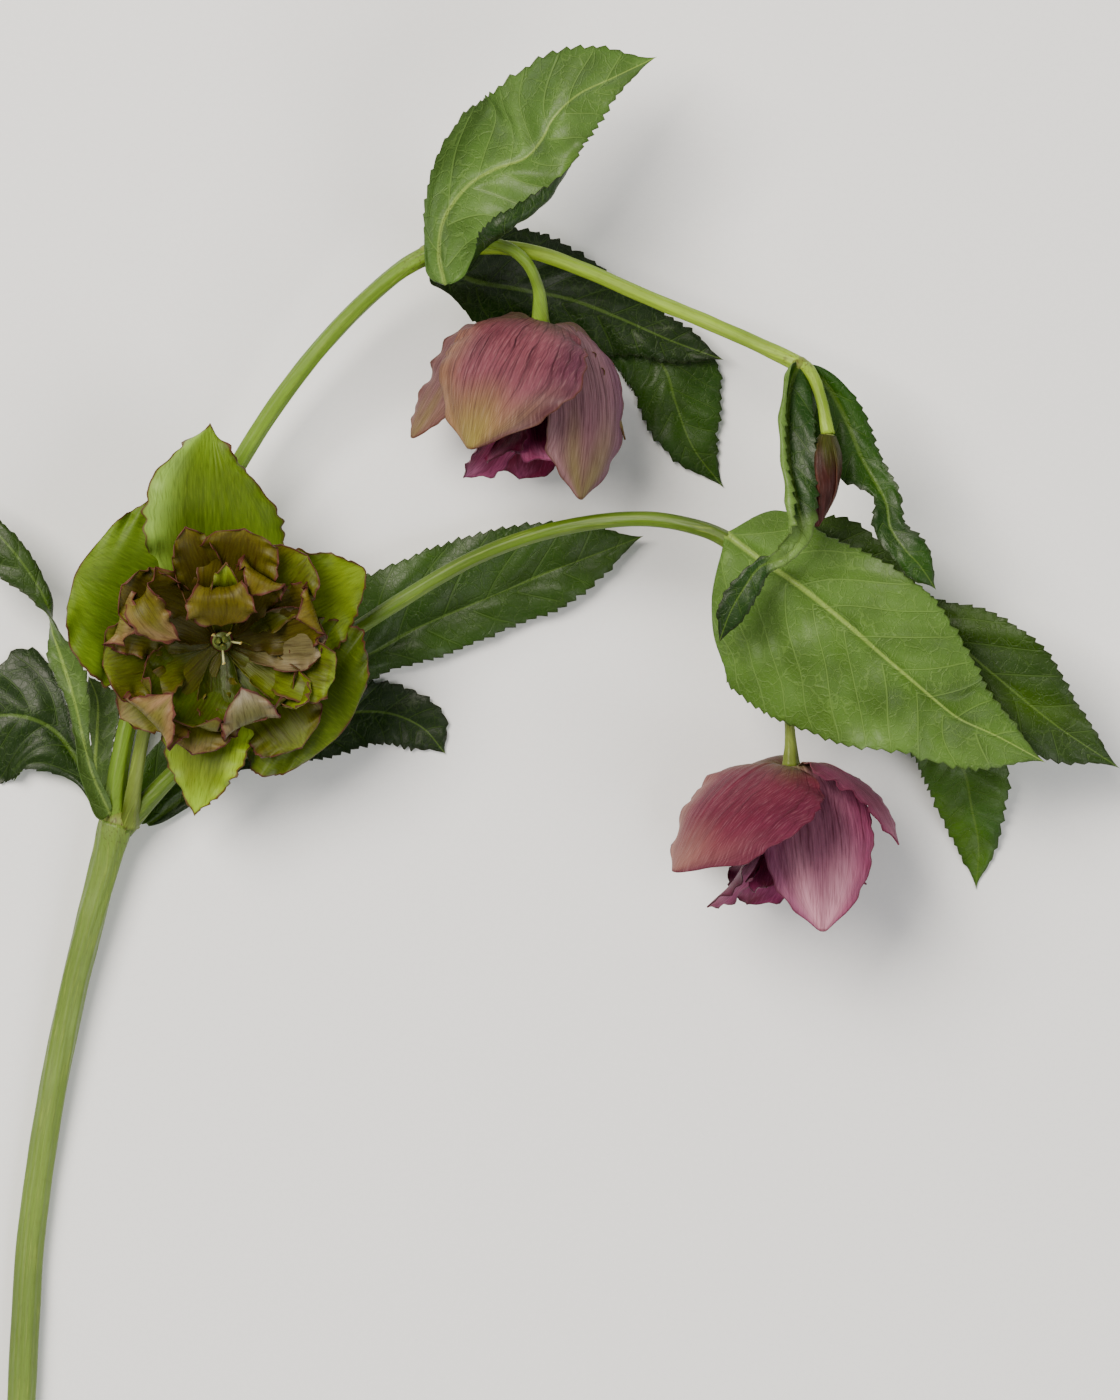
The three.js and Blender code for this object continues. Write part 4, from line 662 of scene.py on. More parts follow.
def add_teeth(grid, seed):
    """Draws the margins out into teeth that point forward."""
    points, share = grid["points"], np.abs(grid["share"])
    rows, columns = share.shape
    dice = np.random.default_rng(seed)
    u = grid["u"][:, 0]
    along = unit(np.gradient(points[:, columns // 2], axis=0))
    # The teeth of the two margins are out of step.
    for edge, inner, start in ((0, 1, 0), (columns - 1, columns - 2, HALF_TOOTH)):
        step = (np.arange(rows) + start) % ROWS_PER_TOOTH
        tooth = (np.arange(rows) + start) // ROWS_PER_TOOTH
        height = dice.uniform(*TOOTH_SIZES, tooth.max() + 1)[tooth] * TOOTH
        height *= between(TEETH_BEGIN, TEETH_END, u) * step / (ROWS_PER_TOOTH - 1)
        # Where a leaf is narrow its teeth are smaller.
        height *= smooth(0.5, 5, grid["widest"][:, edge])
        out = unit(points[:, edge] - points[:, inner])
        near = np.abs(np.arange(columns) - edge)[None, :, None]
        weight = np.where(near < columns // 2, smooth(TOOTH_ROOT, 1, share)[..., None], 0)
        points += weight * (height[:, None] * (out + TOOTH_LEAN * along))[:, None]


print("a tooth is", ROWS_PER_TOOTH * LEAF_STEP, "mm long")

# %% [markdown]
# ## Colour of a leaf's skin
#
# The colour changes slowly over a leaf: paler at the base and along the midrib, deeper towards the
# margin, with a dark, slightly purple rim where it has weathered. Those slow changes are kept at the
# points of the mesh, and the materials add what is fine.

# %% Paint a leaf
PLAIN_UNDERSIDE = ("3f5c1c", "5f7f38")
WEATHERED = "2a1c0c"  # the rim
TWIST_BLENDS = 0.06  # of the length, at each end of a twisted stretch
NOWHERE = (2, 3)  # a stretch past the tip


def mix(a, b, share):
    """Colours between a and b, by a share for each point."""
    share = np.asarray(share, float)[..., None]
    return np.asarray(a) * (1 - share) + np.asarray(b) * share


def paint_leaf(leaf, grid, seed):
    """Linear colours for the upper side and the underside of a leaf, at each point of its grid."""
    x, u, share = grid["sideways"], grid["u"], np.abs(grid["share"])
    cloud = 0.5 + 0.28 * ripple(seed, 1, 4, u + 0.02 * x) + 0.22 * ripple(seed + 3, 0.02, 0.07, x + 20 * u)
    rim = np.minimum(grid["widest"] * (1 - share), (1 - u) * grid["length"])
    skins = []
    for deep, light in (leaf["upper"], leaf.get("under", PLAIN_UNDERSIDE)):
        skin = mix(colour(deep), colour(light), np.clip(cloud + 0.25 * (1 - u) - 0.15 * share, 0, 1))
        dark = mix(np.array(colour(deep)) * 0.6, np.array(colour(WEATHERED)), 0.35)
        skin = mix(skin, dark, 0.5 * (1 - smooth(0.1, 0.5, rim)) * smooth(0.1, 0.3, u))
        skins.append(skin)
    upper, under = skins
    start, end = leaf.get("twisted", NOWHERE)
    upper = mix(upper, under, between((start, start + TWIST_BLENDS), (end - TWIST_BLENDS, end), u))
    return upper, under


print("a plain underside is", *PLAIN_UNDERSIDE)

# %% [markdown]
# ## Materials
#
# Each material starts from what the real skin is: a leaf's upper side is a waxy cuticle over dark green
# cells, its underside is paler because air lies between the cells, and a petal is a thin film of
# coloured sap. Patterns are measured in millimetres along the leaf, so they bend with it. One small
# function adds a node with its settings and links, and a few more add the nodes that are used most.

# %% Add a node
NODE_GAP, ROW_GAP, NODES_IN_ROW = 190, 260, 12  # in the editor, so that a tree can be read


def new_material(name):
    """A new material with an empty tree, and that tree."""
    material = bpy.data.materials.new(name)
    material.use_nodes = True
    tree = material.node_tree
    tree.nodes.clear()
    return material, tree


def add(tree, kind, inputs=None, **settings):
    """Adds a node. inputs holds values and sockets to link, by the name or number of the input."""
    node = tree.nodes.new(kind)
    row, place = divmod(len(tree.nodes), NODES_IN_ROW)
    node.location = (NODE_GAP * place, -ROW_GAP * row)
    for key, value in settings.items():
        setattr(node, key, value)
    for key, value in (inputs or {}).items():
        socket = node.inputs[key]
        if isinstance(value, bpy.types.NodeSocket):
            tree.links.new(value, socket)
        else:
            socket.default_value = value
    return node


def blend(tree, share, a, b, how="MIX"):
    """The output of a colour mix from a to b, each a socket or a hex value."""
    a, b = (colour(c) if isinstance(c, str) else c for c in (a, b))
    settings = {"data_type": "RGBA", "blend_type": how, "clamp_factor": True}
    return add(tree, "ShaderNodeMix", {0: share, 6: a, 7: b}, **settings).outputs[2]


def remap(tree, value, low, high, to_low=0.0, to_high=1.0):
    """The output of a smooth remap of a value."""
    inputs = {0: value, 1: low, 2: high, 3: to_low, 4: to_high}
    kind = "ShaderNodeMapRange"
    return add(tree, kind, inputs, interpolation_type="SMOOTHSTEP", clamp=True).outputs[0]


def math_of(tree, operation, *values):
    """The output of a sum on values."""
    return add(tree, "ShaderNodeMath", dict(enumerate(values)), operation=operation).outputs[0]


def times(tree, a, b):
    """The output of a product."""
    return math_of(tree, "MULTIPLY", a, b)


def noise(tree, place, scale, detail, output=0):
    """An output of a noise: 0 is its grey value and 1 its colour. scale is in blobs for each unit."""
    inputs = {"Vector": place, "Scale": scale, "Detail": detail}
    return add(tree, "ShaderNodeTexNoise", inputs).outputs[output]


def cell_pattern(tree, place, scale, feature="F1"):
    """How far a point is from the middle of its Voronoi cell, or from the cell's edge."""
    inputs = {"Vector": place, "Scale": scale}
    return add(tree, "ShaderNodeTexVoronoi", inputs, feature=feature).outputs["Distance"]


def stretch(tree, place, x, y):
    """Places with their two axes scaled: a pattern laid on them gets as much shorter."""
    return add(tree, "ShaderNodeMapping", {0: place, 3: (x, y, 1.0)}).outputs[0]


def object_place(tree):
    """Places in the piece itself, in metres."""
    return add(tree, "ShaderNodeTexCoord").outputs["Object"]


def skin_inputs(tree):
    """Where on a blade a point is: surface in mm, fan, rim in mm, veins and tint."""
    uv = add(tree, "ShaderNodeUVMap", uv_map="surface").outputs[0]
    surface = add(tree, "ShaderNodeVectorMath", {0: uv, "Scale": UV_UNIT}, operation="SCALE").outputs[0]
    fan = add(tree, "ShaderNodeUVMap", uv_map="fan").outputs[0]
    facts = {k: add(tree, "ShaderNodeAttribute", attribute_name=k) for k in ("rim", "veins", "tint")}
    rim, veins = (facts[k].outputs["Fac"] for k in ("rim", "veins"))
    return surface, fan, rim, veins, facts["tint"].outputs["Color"]


def skin_output(tree, base, roughness, height, strength, distance, **constants):
    """A Principled shader with a bump, linked to the output."""
    bump = add(tree, "ShaderNodeBump", {"Strength": strength, "Distance": distance * MM, "Height": height})
    inputs = {"Base Color": base, "Roughness": roughness, "Normal": bump.outputs[0], **constants}
    shader = add(tree, "ShaderNodeBsdfPrincipled", inputs)
    add(tree, "ShaderNodeOutputMaterial", {"Surface": shader.outputs[0]})


print("node helpers ready")

# %% [markdown]
# ### Leaf, upper side and underside
#
# The two sides share one network: side veins are where the `veins` number is whole, finer ones are the
# edges of Voronoi cells about 3.3 mm and 1.1 mm wide. On the upper side the net is sunk and a little
# paler, and the cuticle gives a satin shine that breaks up over the cells between the veins. Below, the
# net stands out pale against the dull green, and the shine is softer.

# %% The two sides of a leaf
NET_CELLS, FINE_CELLS = 0.3, 0.9  # for each mm


def leaf_skin(name, vein_colour, vein_share, midrib_colour, midrib_share, raised, roughness, coat):
    """A leaf's skin. raised is 1 where the net stands out and -1 where it is sunk."""
    material, tree = new_material(name)
    surface, fan, rim, veins, tint = skin_inputs(tree)
    across = add(tree, "ShaderNodeSeparateXYZ", {0: surface})
    wobble = noise(tree, surface, 0.35, 3.0, output=1)
    moved = add(tree, "ShaderNodeVectorMath", {0: wobble, "Scale": 2.4}, operation="SCALE")
    warped = add(tree, "ShaderNodeVectorMath", {0: surface, 1: moved.outputs[0]}).outputs[0]
    net = cell_pattern(tree, warped, NET_CELLS, "DISTANCE_TO_EDGE")
    fine = cell_pattern(tree, warped, FINE_CELLS, "DISTANCE_TO_EDGE")
    grain = noise(tree, surface, 5.0, 3.0)
    cloud = noise(tree, surface, 0.11, 4.0)
    # How near a point is to the midrib, a side vein, a branch of the net and its finest meshes.
    side = math_of(tree, "ABSOLUTE", across.outputs[0])
    left_to_go = math_of(tree, "SUBTRACT", 1.2, add(tree, "ShaderNodeSeparateXYZ", {0: fan}).outputs[1])
    midrib = remap(tree, math_of(tree, "DIVIDE", side, left_to_go), 0.75, 0.25)
    half_way = math_of(tree, "PINGPONG", veins, 0.5)
    lateral = remap(tree, half_way, 0.05, 0.012)
    net_line = remap(tree, net, 0.06, 0.01)
    fine_line = remap(tree, fine, 0.09, 0.02)
    lines = math_of(tree, "MAXIMUM", lateral, times(tree, net_line, 0.6))
    lines = math_of(tree, "MAXIMUM", lines, times(tree, fine_line, 0.3))
    inside = remap(tree, rim, 0.2, 1.6)
    base = blend(tree, remap(tree, cloud, 0.35, 0.7, 0.0, 0.3), tint, "0c1400")
    base = blend(tree, remap(tree, grain, 0.4, 0.75, 0.0, 0.1), base, vein_colour)
    shown = times(tree, times(tree, lines, inside), vein_share)
    base = blend(tree, shown, base, vein_colour)
    base = blend(tree, times(tree, midrib, midrib_share), base, midrib_colour)
    height = times(tree, lines, raised)
    height = math_of(tree, "MULTIPLY_ADD", grain, 0.25, height)
    height = math_of(tree, "MULTIPLY_ADD", cloud, 0.8, height)
    rough = remap(tree, grain, 0.3, 0.75, roughness - 0.06, roughness + 0.12)
    rough = math_of(tree, "MULTIPLY_ADD", lines, 0.1, rough)
    constants = {"Coat Weight": coat, "Coat Roughness": 0.3, "Specular IOR Level": 0.22}
    skin_output(tree, base, rough, height, 0.6, 0.35, **constants)
    return material


LEAF_UPPER = leaf_skin("leaf cuticle, upper side", "46641c", 0.3, "4e6a20", 0.6, -1.0, 0.38, 0.1)
LEAF_UNDER = leaf_skin("leaf underside, raised veins", "7a9a4c", 0.28, "7e9844", 0.75, 1.0, 0.44, 0.14)
print(LEAF_UPPER.name, "and", LEAF_UNDER.name)

# %% [markdown]
# ### Stalk
#
# The stems are fleshy and ribbed, green, with purple-brown freckles that crowd where a branch leaves.
# Fine streaks run along them. `surface` holds the way round the stalk and the way along it, and `rim`
# how far away the nearest node is.

# %% Stalk


def stalk_skin():
    """The skin of the stem and its branches."""
    material, tree = new_material("stalk, green with purple freckles")
    surface, _, near, _, tint = skin_inputs(tree)
    streaks = noise(tree, stretch(tree, surface, 1.6, 0.09), 1.3, 3.0)
    freckles = noise(tree, stretch(tree, surface, 1.0, 0.35), 1.9, 4.0)
    grain = noise(tree, surface, 6.0, 2.0)
    base = blend(tree, remap(tree, streaks, 0.3, 0.7, 0.0, 0.35), tint, "2a3c04")
    base = blend(tree, remap(tree, streaks, 0.5, 0.8, 0.0, 0.4), base, "a0b84c")
    crowd = remap(tree, near, 9.0, 0.0, 0.12, 0.75)
    spots = times(tree, remap(tree, freckles, 0.52, 0.66), crowd)
    base = blend(tree, spots, base, "3c1a10")
    height = math_of(tree, "MULTIPLY_ADD", streaks, 1.0, times(tree, grain, 0.25))
    rough = remap(tree, streaks, 0.3, 0.7, 0.38, 0.52)
    constants = {
        "Subsurface Weight": 0.06, "Subsurface Radius": (0.002, 0.003, 0.001), "Specular IOR Level": 0.3,
    }
    skin_output(tree, base, rough, height, 0.35, 0.25, **constants)
    return material


def pith_skin():
    """The cut end of the stem: pale pith inside a ring of bundles."""
    material, tree = new_material("cut stem, pale pith")
    place = object_place(tree)
    cells = cell_pattern(tree, place, 2600.0)
    grain = noise(tree, place, 900.0, 3.0)
    tint = add(tree, "ShaderNodeAttribute", attribute_name="tint").outputs["Color"]
    base = blend(tree, remap(tree, cells, 0.1, 0.6, 0.0, 0.35), tint, "e6e8c0")
    base = blend(tree, remap(tree, grain, 0.4, 0.7, 0.0, 0.3), base, "7d8a4a")
    rough = remap(tree, grain, 0.3, 0.7, 0.5, 0.7)
    skin_output(tree, base, rough, cells, 0.3, 0.1)
    return material


STALK_SKIN, PITH = stalk_skin(), pith_skin()
print(STALK_SKIN.name, "and", PITH.name)

# %% [markdown]
# ### Sepals and petals
#
# A petal's colour is sap in long cells that fan out from its base. So the streaks and veins here live
# in the fan map, where one axis is the share of the width: they spread with the petal and close up at
# both ends. A faint pearly grain comes from the rounded cells of its skin. A little light passes
# into a petal before it leaves again, which subsurface scattering gives.

# %% Petal skins


def petal_skin(name, vein_colour, vein_share, veins_wide, rim_colour, rim_share, roughness, thread_colour):
    """The skin of a sepal or petal. veins_wide is how many main veins there are over the width."""
    material, tree = new_material(name)
    surface, fan, rim, _, tint = skin_inputs(tree)
    fibres = noise(tree, stretch(tree, fan, veins_wide * 3.2, 1.3), 1.6, 4.0)
    soft_fan = stretch(tree, fan, 5.0, 2.2)
    clouds = noise(tree, soft_fan, 1.2, 3.0)
    wobble = noise(tree, soft_fan, 2.5, 2.0)
    parts = add(tree, "ShaderNodeSeparateXYZ", {0: fan})
    across, along = parts.outputs[0], parts.outputs[1]
    bent = math_of(tree, "MULTIPLY_ADD", wobble, 0.07, across)
    main = math_of(tree, "PINGPONG", times(tree, bent, float(veins_wide)), 0.5)
    finer = times(tree, bent, veins_wide * 2.7)
    small = math_of(tree, "PINGPONG", math_of(tree, "MULTIPLY_ADD", wobble, 1.5, finer), 0.5)
    veins = math_of(tree, "MULTIPLY_ADD", remap(tree, small, 0.2, 0.03), 0.4, remap(tree, main, 0.13, 0.02))
    veins = times(tree, veins, remap(tree, along, 0.98, 0.5))
    # A vein is not inked in evenly: it comes and goes.
    veins = times(tree, veins, remap(tree, clouds, 0.35, 0.6, 0.35, 1.0))
    grain = noise(tree, surface, 4.5, 3.0)
    # Rows of cells: threads about half a millimetre wide and a few long.
    threads = noise(tree, stretch(tree, surface, 1.9, 0.24), 1.3, 4.0)
    base = blend(tree, remap(tree, clouds, 0.4, 0.75, 0.0, 0.3), tint, vein_colour)
    base = blend(tree, remap(tree, threads, 0.48, 0.72, 0.0, 0.4), base, vein_colour)
    base = blend(tree, remap(tree, threads, 0.5, 0.26, 0.0, 0.09), base, thread_colour)
    base = blend(tree, remap(tree, fibres, 0.45, 0.75, 0.0, vein_share * 0.7), base, vein_colour)
    base = blend(tree, times(tree, veins, vein_share), base, vein_colour)
    # The margin is darkest in a thin line, which fades towards the base.
    outer = remap(tree, along, 0.2, 0.55, 0.1, 1.0)
    for width, share in ((1.6, 0.25 * rim_share), (0.55, rim_share)):
        line = times(tree, outer, remap(tree, rim, width, 0.25, 0.0, share))
        base = blend(tree, line, base, rim_colour)
    height = math_of(tree, "MULTIPLY_ADD", fibres, 1.0, times(tree, veins, 0.4))
    height = math_of(tree, "MULTIPLY_ADD", grain, 0.35, height)
    rough = remap(tree, grain, 0.3, 0.7, roughness - 0.07, roughness + 0.1)
    constants = {
        "Subsurface Weight": 0.12, "Subsurface Radius": (0.003, 0.0015, 0.0012), "Specular IOR Level": 0.16,
    }
    skin_output(tree, base, rough, height, 0.35, 0.2, **constants)
    return material


GREEN_SEPAL = petal_skin("green sepal, fine veins", "2c3a00", 0.3, 9, "48201c", 0.85, 0.44, "a0b83c")
GREEN_PETAL = petal_skin("green petal, olive and brown", "2a1a00", 0.35, 8, "4e2024", 0.8, 0.42, "8c8430")
MAUVE_SEPAL = petal_skin("mauve sepal, dark veins", "30101c", 0.85, 15, "4a2c1c", 0.6, 0.5, "d8b8b0")
MAUVE_PETAL = petal_skin("magenta petal", "30041a", 0.5, 8, "2a0414", 0.5, 0.45, "e0a0c0")
PINK_SEPAL = petal_skin("dusky pink sepal, red veins", "400a20", 0.6, 14, "4c1028", 0.6, 0.5, "e0b0b8")
PINK_PETAL = petal_skin("purple pink petal", "400a26", 0.5, 8, "2a0c16", 0.6, 0.45, "e0a8c0")
BUD_SKIN = petal_skin("bud sepal, brown purple", "160200", 0.5, 14, "5a3428", 0.4, 0.42, "a08080")
print("petal skins ready")

# %% [markdown]
# ## Make the leaves
#
# Rows lie 0.6 mm apart, so that a tooth has four of them, and there are about as many columns as
# millimetres across. Both sides get their own material on every leaf, also where the other side can't
# be seen, because the flower may be turned over.

# %% Thirteen fine leaves
# The material numbers of a leaf's front, back and rim, when its upper side looks up and when not.
UPPER_UP, UPPER_DOWN = (0, 1, 0), (1, 0, 0)
LEAF_COLUMNS, LEAF_COLUMN = 8, 0.95  # so many in each half, and one more for each 0.95 mm
LEAF_NIBBLE = 0.18  # mm
# mm between side veins at the rib, and how much more on longer and on wider leaves.
VEIN_SPACING, SPACING_BY_LENGTH, SPACING_BY_WIDTH = 3.2, 0.042, 0.1


def make_leaf(name, seed):
    """One leaf, named after the CAD node that it replaces."""
    leaf = LEAVES[name]
    widest = max(max(leaf["left"]), max(leaf["right"]))
    columns = int(LEAF_COLUMNS + widest / LEAF_COLUMN)
    grid = blade_grid(leaf, LEAF_STEP, columns, nibble=LEAF_NIBBLE, seed=seed)
    spacing = VEIN_SPACING + SPACING_BY_LENGTH * grid["length"] + SPACING_BY_WIDTH * widest
    veins = side_veins(grid, spacing, seed)
    add_teeth(grid, seed)
    # A leaf 12.6 mm wide on one side of its rib has the strongest midrib.
    relief = leaf_relief(grid, veins, spacing, min(1, 0.3 + widest / 18), seed)
    tints, sides, slot = paint_leaf(leaf, grid, seed), UPPER_UP, "leaf_upper"
    if leaf.get("shows") == "underside":
        relief, tints, sides, slot = relief[::-1], tints[::-1], UPPER_DOWN, "leaf_underside"
    piece = Piece(name + "_fine", [LEAF_UPPER, LEAF_UNDER])
    add_blade(piece, grid, LEAF_THICKNESS, sides, tints, veins, relief)
    finish_piece(piece.make(), slot, name)


for k, name in enumerate(LEAVES):
    make_leaf(name, seed=11 + 3 * k)

# %% [markdown]
# ## The stem and its branches
#
# A hellebore's stem is thick, fleshy and softly ribbed. Each branch is a tube along a smooth line with
# seven low ribs that twist a little, thicker where it leaves a node. A curve with a bevel would give a
# perfectly even tube, so the rings are laid out here instead. The lower end was cut on a slant, and
# shows its pith.

# %% Stalks
STALKS = {
    "main": {
        "points": [
            [3.7, -38.5, 2.8], [3.7, -26.4, 2.8], [4, -13.2, 2.8], [4.8, 0, 2.8], [5.7, 17.6, 2.8],
            [7, 36.3, 2.8], [9.5, 55, 3.2], [12.8, 73.7, 4], [16.5, 91.3, 5], [20.2, 106, 6],
            [23.5, 118.4, 7.2], [26, 127.2, 8.2],
        ],
        "radii": [3.2, 3.1, 3.1, 3.1, 3.1, 3.05, 3, 3, 3, 3.1, 3.3, 3.9],
    },
    "to_top": {
        "points": [
            [25.1, 125.4, 8], [26.8, 140.8, 9.4], [31.2, 158.4, 10], [39.2, 178.2, 10.6],
            [49.5, 199.8, 12.6], [61.4, 218.9, 16], [74.1, 234.5, 20.5], [85.8, 245.5, 25],
            [93.9, 250.6, 28], [98.6, 251.7, 28.6],
        ],
        "radii": [2.6, 2.1, 1.95, 1.9, 1.9, 1.9, 1.85, 1.85, 2, 1.2],
    },
    "to_right": {
        "points": [
            [27.3, 125.8, 8.4], [39.6, 139, 11.4], [55, 152.7, 14.4], [72.2, 165, 17], [88.9, 176, 19.4],
            [105.6, 185.5, 21.6], [123.2, 191.4, 23.6], [140.8, 193.4, 26.6], [154, 191.2, 29],
            [162.1, 187.2, 30], [165.4, 184.8, 29.6],
        ],
        "radii": [2.4, 1.8, 1.7, 1.65, 1.65, 1.65, 1.65, 1.65, 1.7, 1.9, 1.2],
    },
    "to_green": {
        "points": [
            [28.8, 126.3, 9.6], [30.4, 137.5, 14], [33, 149.2, 17.6], [38.5, 158.4, 19.6],
            [45.5, 164.6, 20.6], [49.5, 167, 22.6],
        ],
        "radii": [2.2, 1.55, 1.45, 1.4, 1.6, 2.1],
    },
    "to_mauve": {
        "points": [
            [95, 250.8, 28], [103, 253.4, 29.6], [110, 253, 30], [115.3, 249.9, 28.6], [118.4, 243.8, 24.8],
            [119, 235.8, 21],
        ],
        "radii": [1.7, 1.4, 1.3, 1.25, 1.25, 2],
    },
    "to_bud": {
        "points": [
            [95.5, 250.4, 27.4], [105.6, 252.6, 26.4], [116.6, 251.7, 26.2], [128.7, 247.5, 26.6],
            [140.8, 242.2, 27.2], [154, 236.7, 28], [165.4, 231.7, 29], [174.9, 227, 30.4],
            [178, 224.4, 33.4], [180, 218.7, 36.4], [181.3, 211.6, 38],
        ],
        "radii": [1.7, 1.6, 1.6, 1.6, 1.6, 1.6, 1.6, 1.8, 1.4, 1.2, 1.5],
    },
    "to_pink": {
        "points": [
            [162.1, 187.2, 28.6], [166.5, 179.3, 27.4], [170.5, 167.2, 26], [172.7, 155.1, 23.8],
            [173.4, 146.3, 22.2], [173.6, 139.5, 21.6],
        ],
        "radii": [1.6, 1.3, 1.2, 1.1, 1.15, 2],
    },
}
# Each: deep, light. The light one lies mostly on a stalk's upper side, as painted light.
STALK_COLOURS = {
    "main": ("42581c", "6e8a34"),
    "to_top": ("44600c", "6e9224"),
    "to_right": ("344a04", "567418"),
    "to_green": ("3a4a0a", "6e8033"),
    "to_mauve": ("4e661c", "7aa02a"),
    "to_bud": ("66861c", "90b030"),
    "to_pink": ("485414", "748434"),
}
KNIFE_POINT = np.array([3.7, -36.33, 0.25])
KNIFE_SLOPE = 0.375 / 0.927  # how far the cut runs up the stem for each mm of height
RING_STEP = 0.8  # mm
RIBS, RIB_HEIGHT = 7, 0.045  # their number, and their height as a share of the radius
RIB_TWIST, RIB_WANDER = 0.004, 0.25  # radians for each mm, and about that
BENDS, RINGS = 0.018, 0.012  # lumps on one side and all round, as shares of the radius
BALL_LUMPS = 0.05  # of a ball's radius
STEM_SIDES, STALK_SIDES = 44, 30
SWELLINGS = (
    # place, half widths, colour
    (FORK, [4.3, 3.5, 3.3], "6c7a30"),
    (TOP_NODE, [2.6, 2.4, 2.2], "6c7a2c"),
    (RIGHT_NODE, [2.6, 2.4, 2.2], "6c7a2c"),
    (BUD_NODE, [2.2, 2.0, 1.9], "6c7a2c"),
)
NODES_AT = np.array([place for place, _, _ in SWELLINGS])
print(len(STALKS), "stalks and", len(SWELLINGS), "swollen nodes")

# %% A tube round a line


def turns(sides):
    """Evenly spaced angles once round a tube."""
    return 2 * np.pi * np.arange(sides) / sides


def ring_frames(points, u):
    """Two directions across a line at each u, carried along it so that they don't twist."""
    along = heading(points, u)
    across = [unit(np.cross(along[0], [0, 0, 1.0]))]
    for direction in along[1:]:
        carried = across[-1] - direction * (across[-1] @ direction)
        across.append(unit(carried))
    across = np.array(across)
    return across, np.cross(along, across)


def tube(points, u, a, radii):
    """The points (rings, sides, 3) of a tube round a line, its side faces and its two end faces."""
    p, q = ring_frames(points, u)
    ring = track(points, u)[:, None] + radii[..., None] * (
        np.cos(a)[None, :, None] * p[:, None] + np.sin(a)[None, :, None] * q[:, None]
    )
    index = np.arange(len(u) * len(a)).reshape(len(u), len(a))
    nxt = np.roll(index, -1, axis=1)
    faces = np.stack([index[:-1], nxt[:-1], nxt[1:], index[1:]], axis=-1).reshape(-1, 4).tolist()
    return ring, faces, [index[0, ::-1].tolist(), index[-1].tolist()]


print("the stem has", STEM_SIDES, "sides and a branch", STALK_SIDES)

# %% One stem


def add_stalk(piece, name, sides):
    """Adds one stalk's tube to the stem."""
    points, radii = np.array(STALKS[name]["points"], float), STALKS[name]["radii"]
    u, length = even_steps(points, RING_STEP)
    run, a = u * length, turns(sides)
    seed = len(name) * 7 + int(length)
    twist = RIB_TWIST * run[:, None] + RIB_WANDER * ripple(seed, 1, 3, u)[:, None]
    lobes = RIB_HEIGHT * np.cos(RIBS * (a[None] + twist))
    lumps = BENDS * ripple(seed + 1, 3, 12, u)[:, None] * np.cos(a[None] + 3 * twist)
    r = track(radii, u)[:, None] * (1 + lobes + lumps + RINGS * ripple(seed + 2, 6, 20, u)[:, None])
    ring, faces, ends = tube(points, u, a, r)
    if name == "main":
        cut = KNIFE_POINT[1] + KNIFE_SLOPE * (ring[..., 2] - KNIFE_POINT[2])
        ring[..., 1] = np.maximum(ring[..., 1], cut)
    ring[..., 2] = np.maximum(ring[..., 2], TABLE_GAP)
    deep, light = (colour(c) for c in STALK_COLOURS[name])
    # Painted light: the upper side of each stalk is painted lighter and its lower side darker, as if lit
    # from above, over a random change of tone.
    cloud = 0.5 + 0.3 * ripple(seed + 4, 2, 7, u)[:, None] + 0.3 * np.cos(a[None] + 1.0)
    tint = mix(deep, light, np.clip(cloud, 0, 1))
    near = np.linalg.norm(ring[:, :, None] - NODES_AT[None, None], axis=3).min(axis=2)
    around = a[None] * track(radii, u)[:, None]
    surface = np.stack(np.broadcast_arrays(around, run[:, None]), axis=-1) / UV_UNIT
    # The main stem's lower end shows its pith.
    skins = [0] * len(faces) + [1 if name == "main" else 0, 0]
    piece.add(ring.reshape(-1, 3), faces + ends, skins, surface=surface, rim=near, tint=tint)


def add_ball(piece, centre, size, tint, skin=0, seed=1, basis=np.eye(3)):
    """Adds a lumpy ball. size is its three half widths along the rows of basis."""
    rows, sides = 17, 28
    t, a = np.linspace(0, np.pi, rows), turns(sides)
    shape = 1 + BALL_LUMPS * ripple(seed, 0.5, 2.5, t / np.pi)[:, None] * np.cos(3 * a + seed)[None]
    ring = np.sin(t)[:, None] * shape
    parts = [ring * np.cos(a), ring * np.sin(a), np.cos(t)[:, None] * shape]
    local = np.stack([part * half for part, half in zip(parts, size)], axis=-1)
    # The first and the last row are poles, and each keeps one point.
    points = local.reshape(-1, 3)[sides - 1 : 1 - sides] @ basis + np.asarray(centre, float)
    top, bottom = 0, len(points) - 1
    faces = [[top, 1 + k, 1 + (k + 1) % sides] for k in range(sides)]
    for i in range(rows - 3):
        first = 1 + i * sides
        for k in range(sides):
            m = (k + 1) % sides
            faces.append([first + k, first + sides + k, first + sides + m, first + m])
    first = 1 + (rows - 3) * sides
    faces += [[first + k, bottom, first + (k + 1) % sides] for k in range(sides)]
    surface = np.stack([points[:, 0] - centre[0], points[:, 1] - centre[1]], axis=-1) / UV_UNIT
    tints = np.broadcast_to(np.array(colour(tint)), (len(points), 4))
    near = np.zeros(len(points))
    piece.add(points, faces, [skin] * len(faces), surface=surface, rim=near, tint=tints)


stem = Piece("stem_fine", [STALK_SKIN, PITH])
for name in STALKS:
    add_stalk(stem, name, STEM_SIDES if name == "main" else STALK_SIDES)
for k, (place, size, tint) in enumerate(SWELLINGS):
    add_ball(stem, place, size, tint, seed=2 + k)
finish_piece(stem.make(), "stem_green", "stem")

# %% [markdown]
# ## Sepals
#
# What looks like a hellebore's petals are its sepals: large, leathery and lasting. Each of the sixteen
# here was laid out by its own numbers, in its flower's frame. `azimuth` is where it stands, `profile`
# how its rib runs out and up, and `left` and `right` its half widths. The green flower looks up, the
# mauve and the pink one nod towards the foot of the stem, so those two are seen from behind.

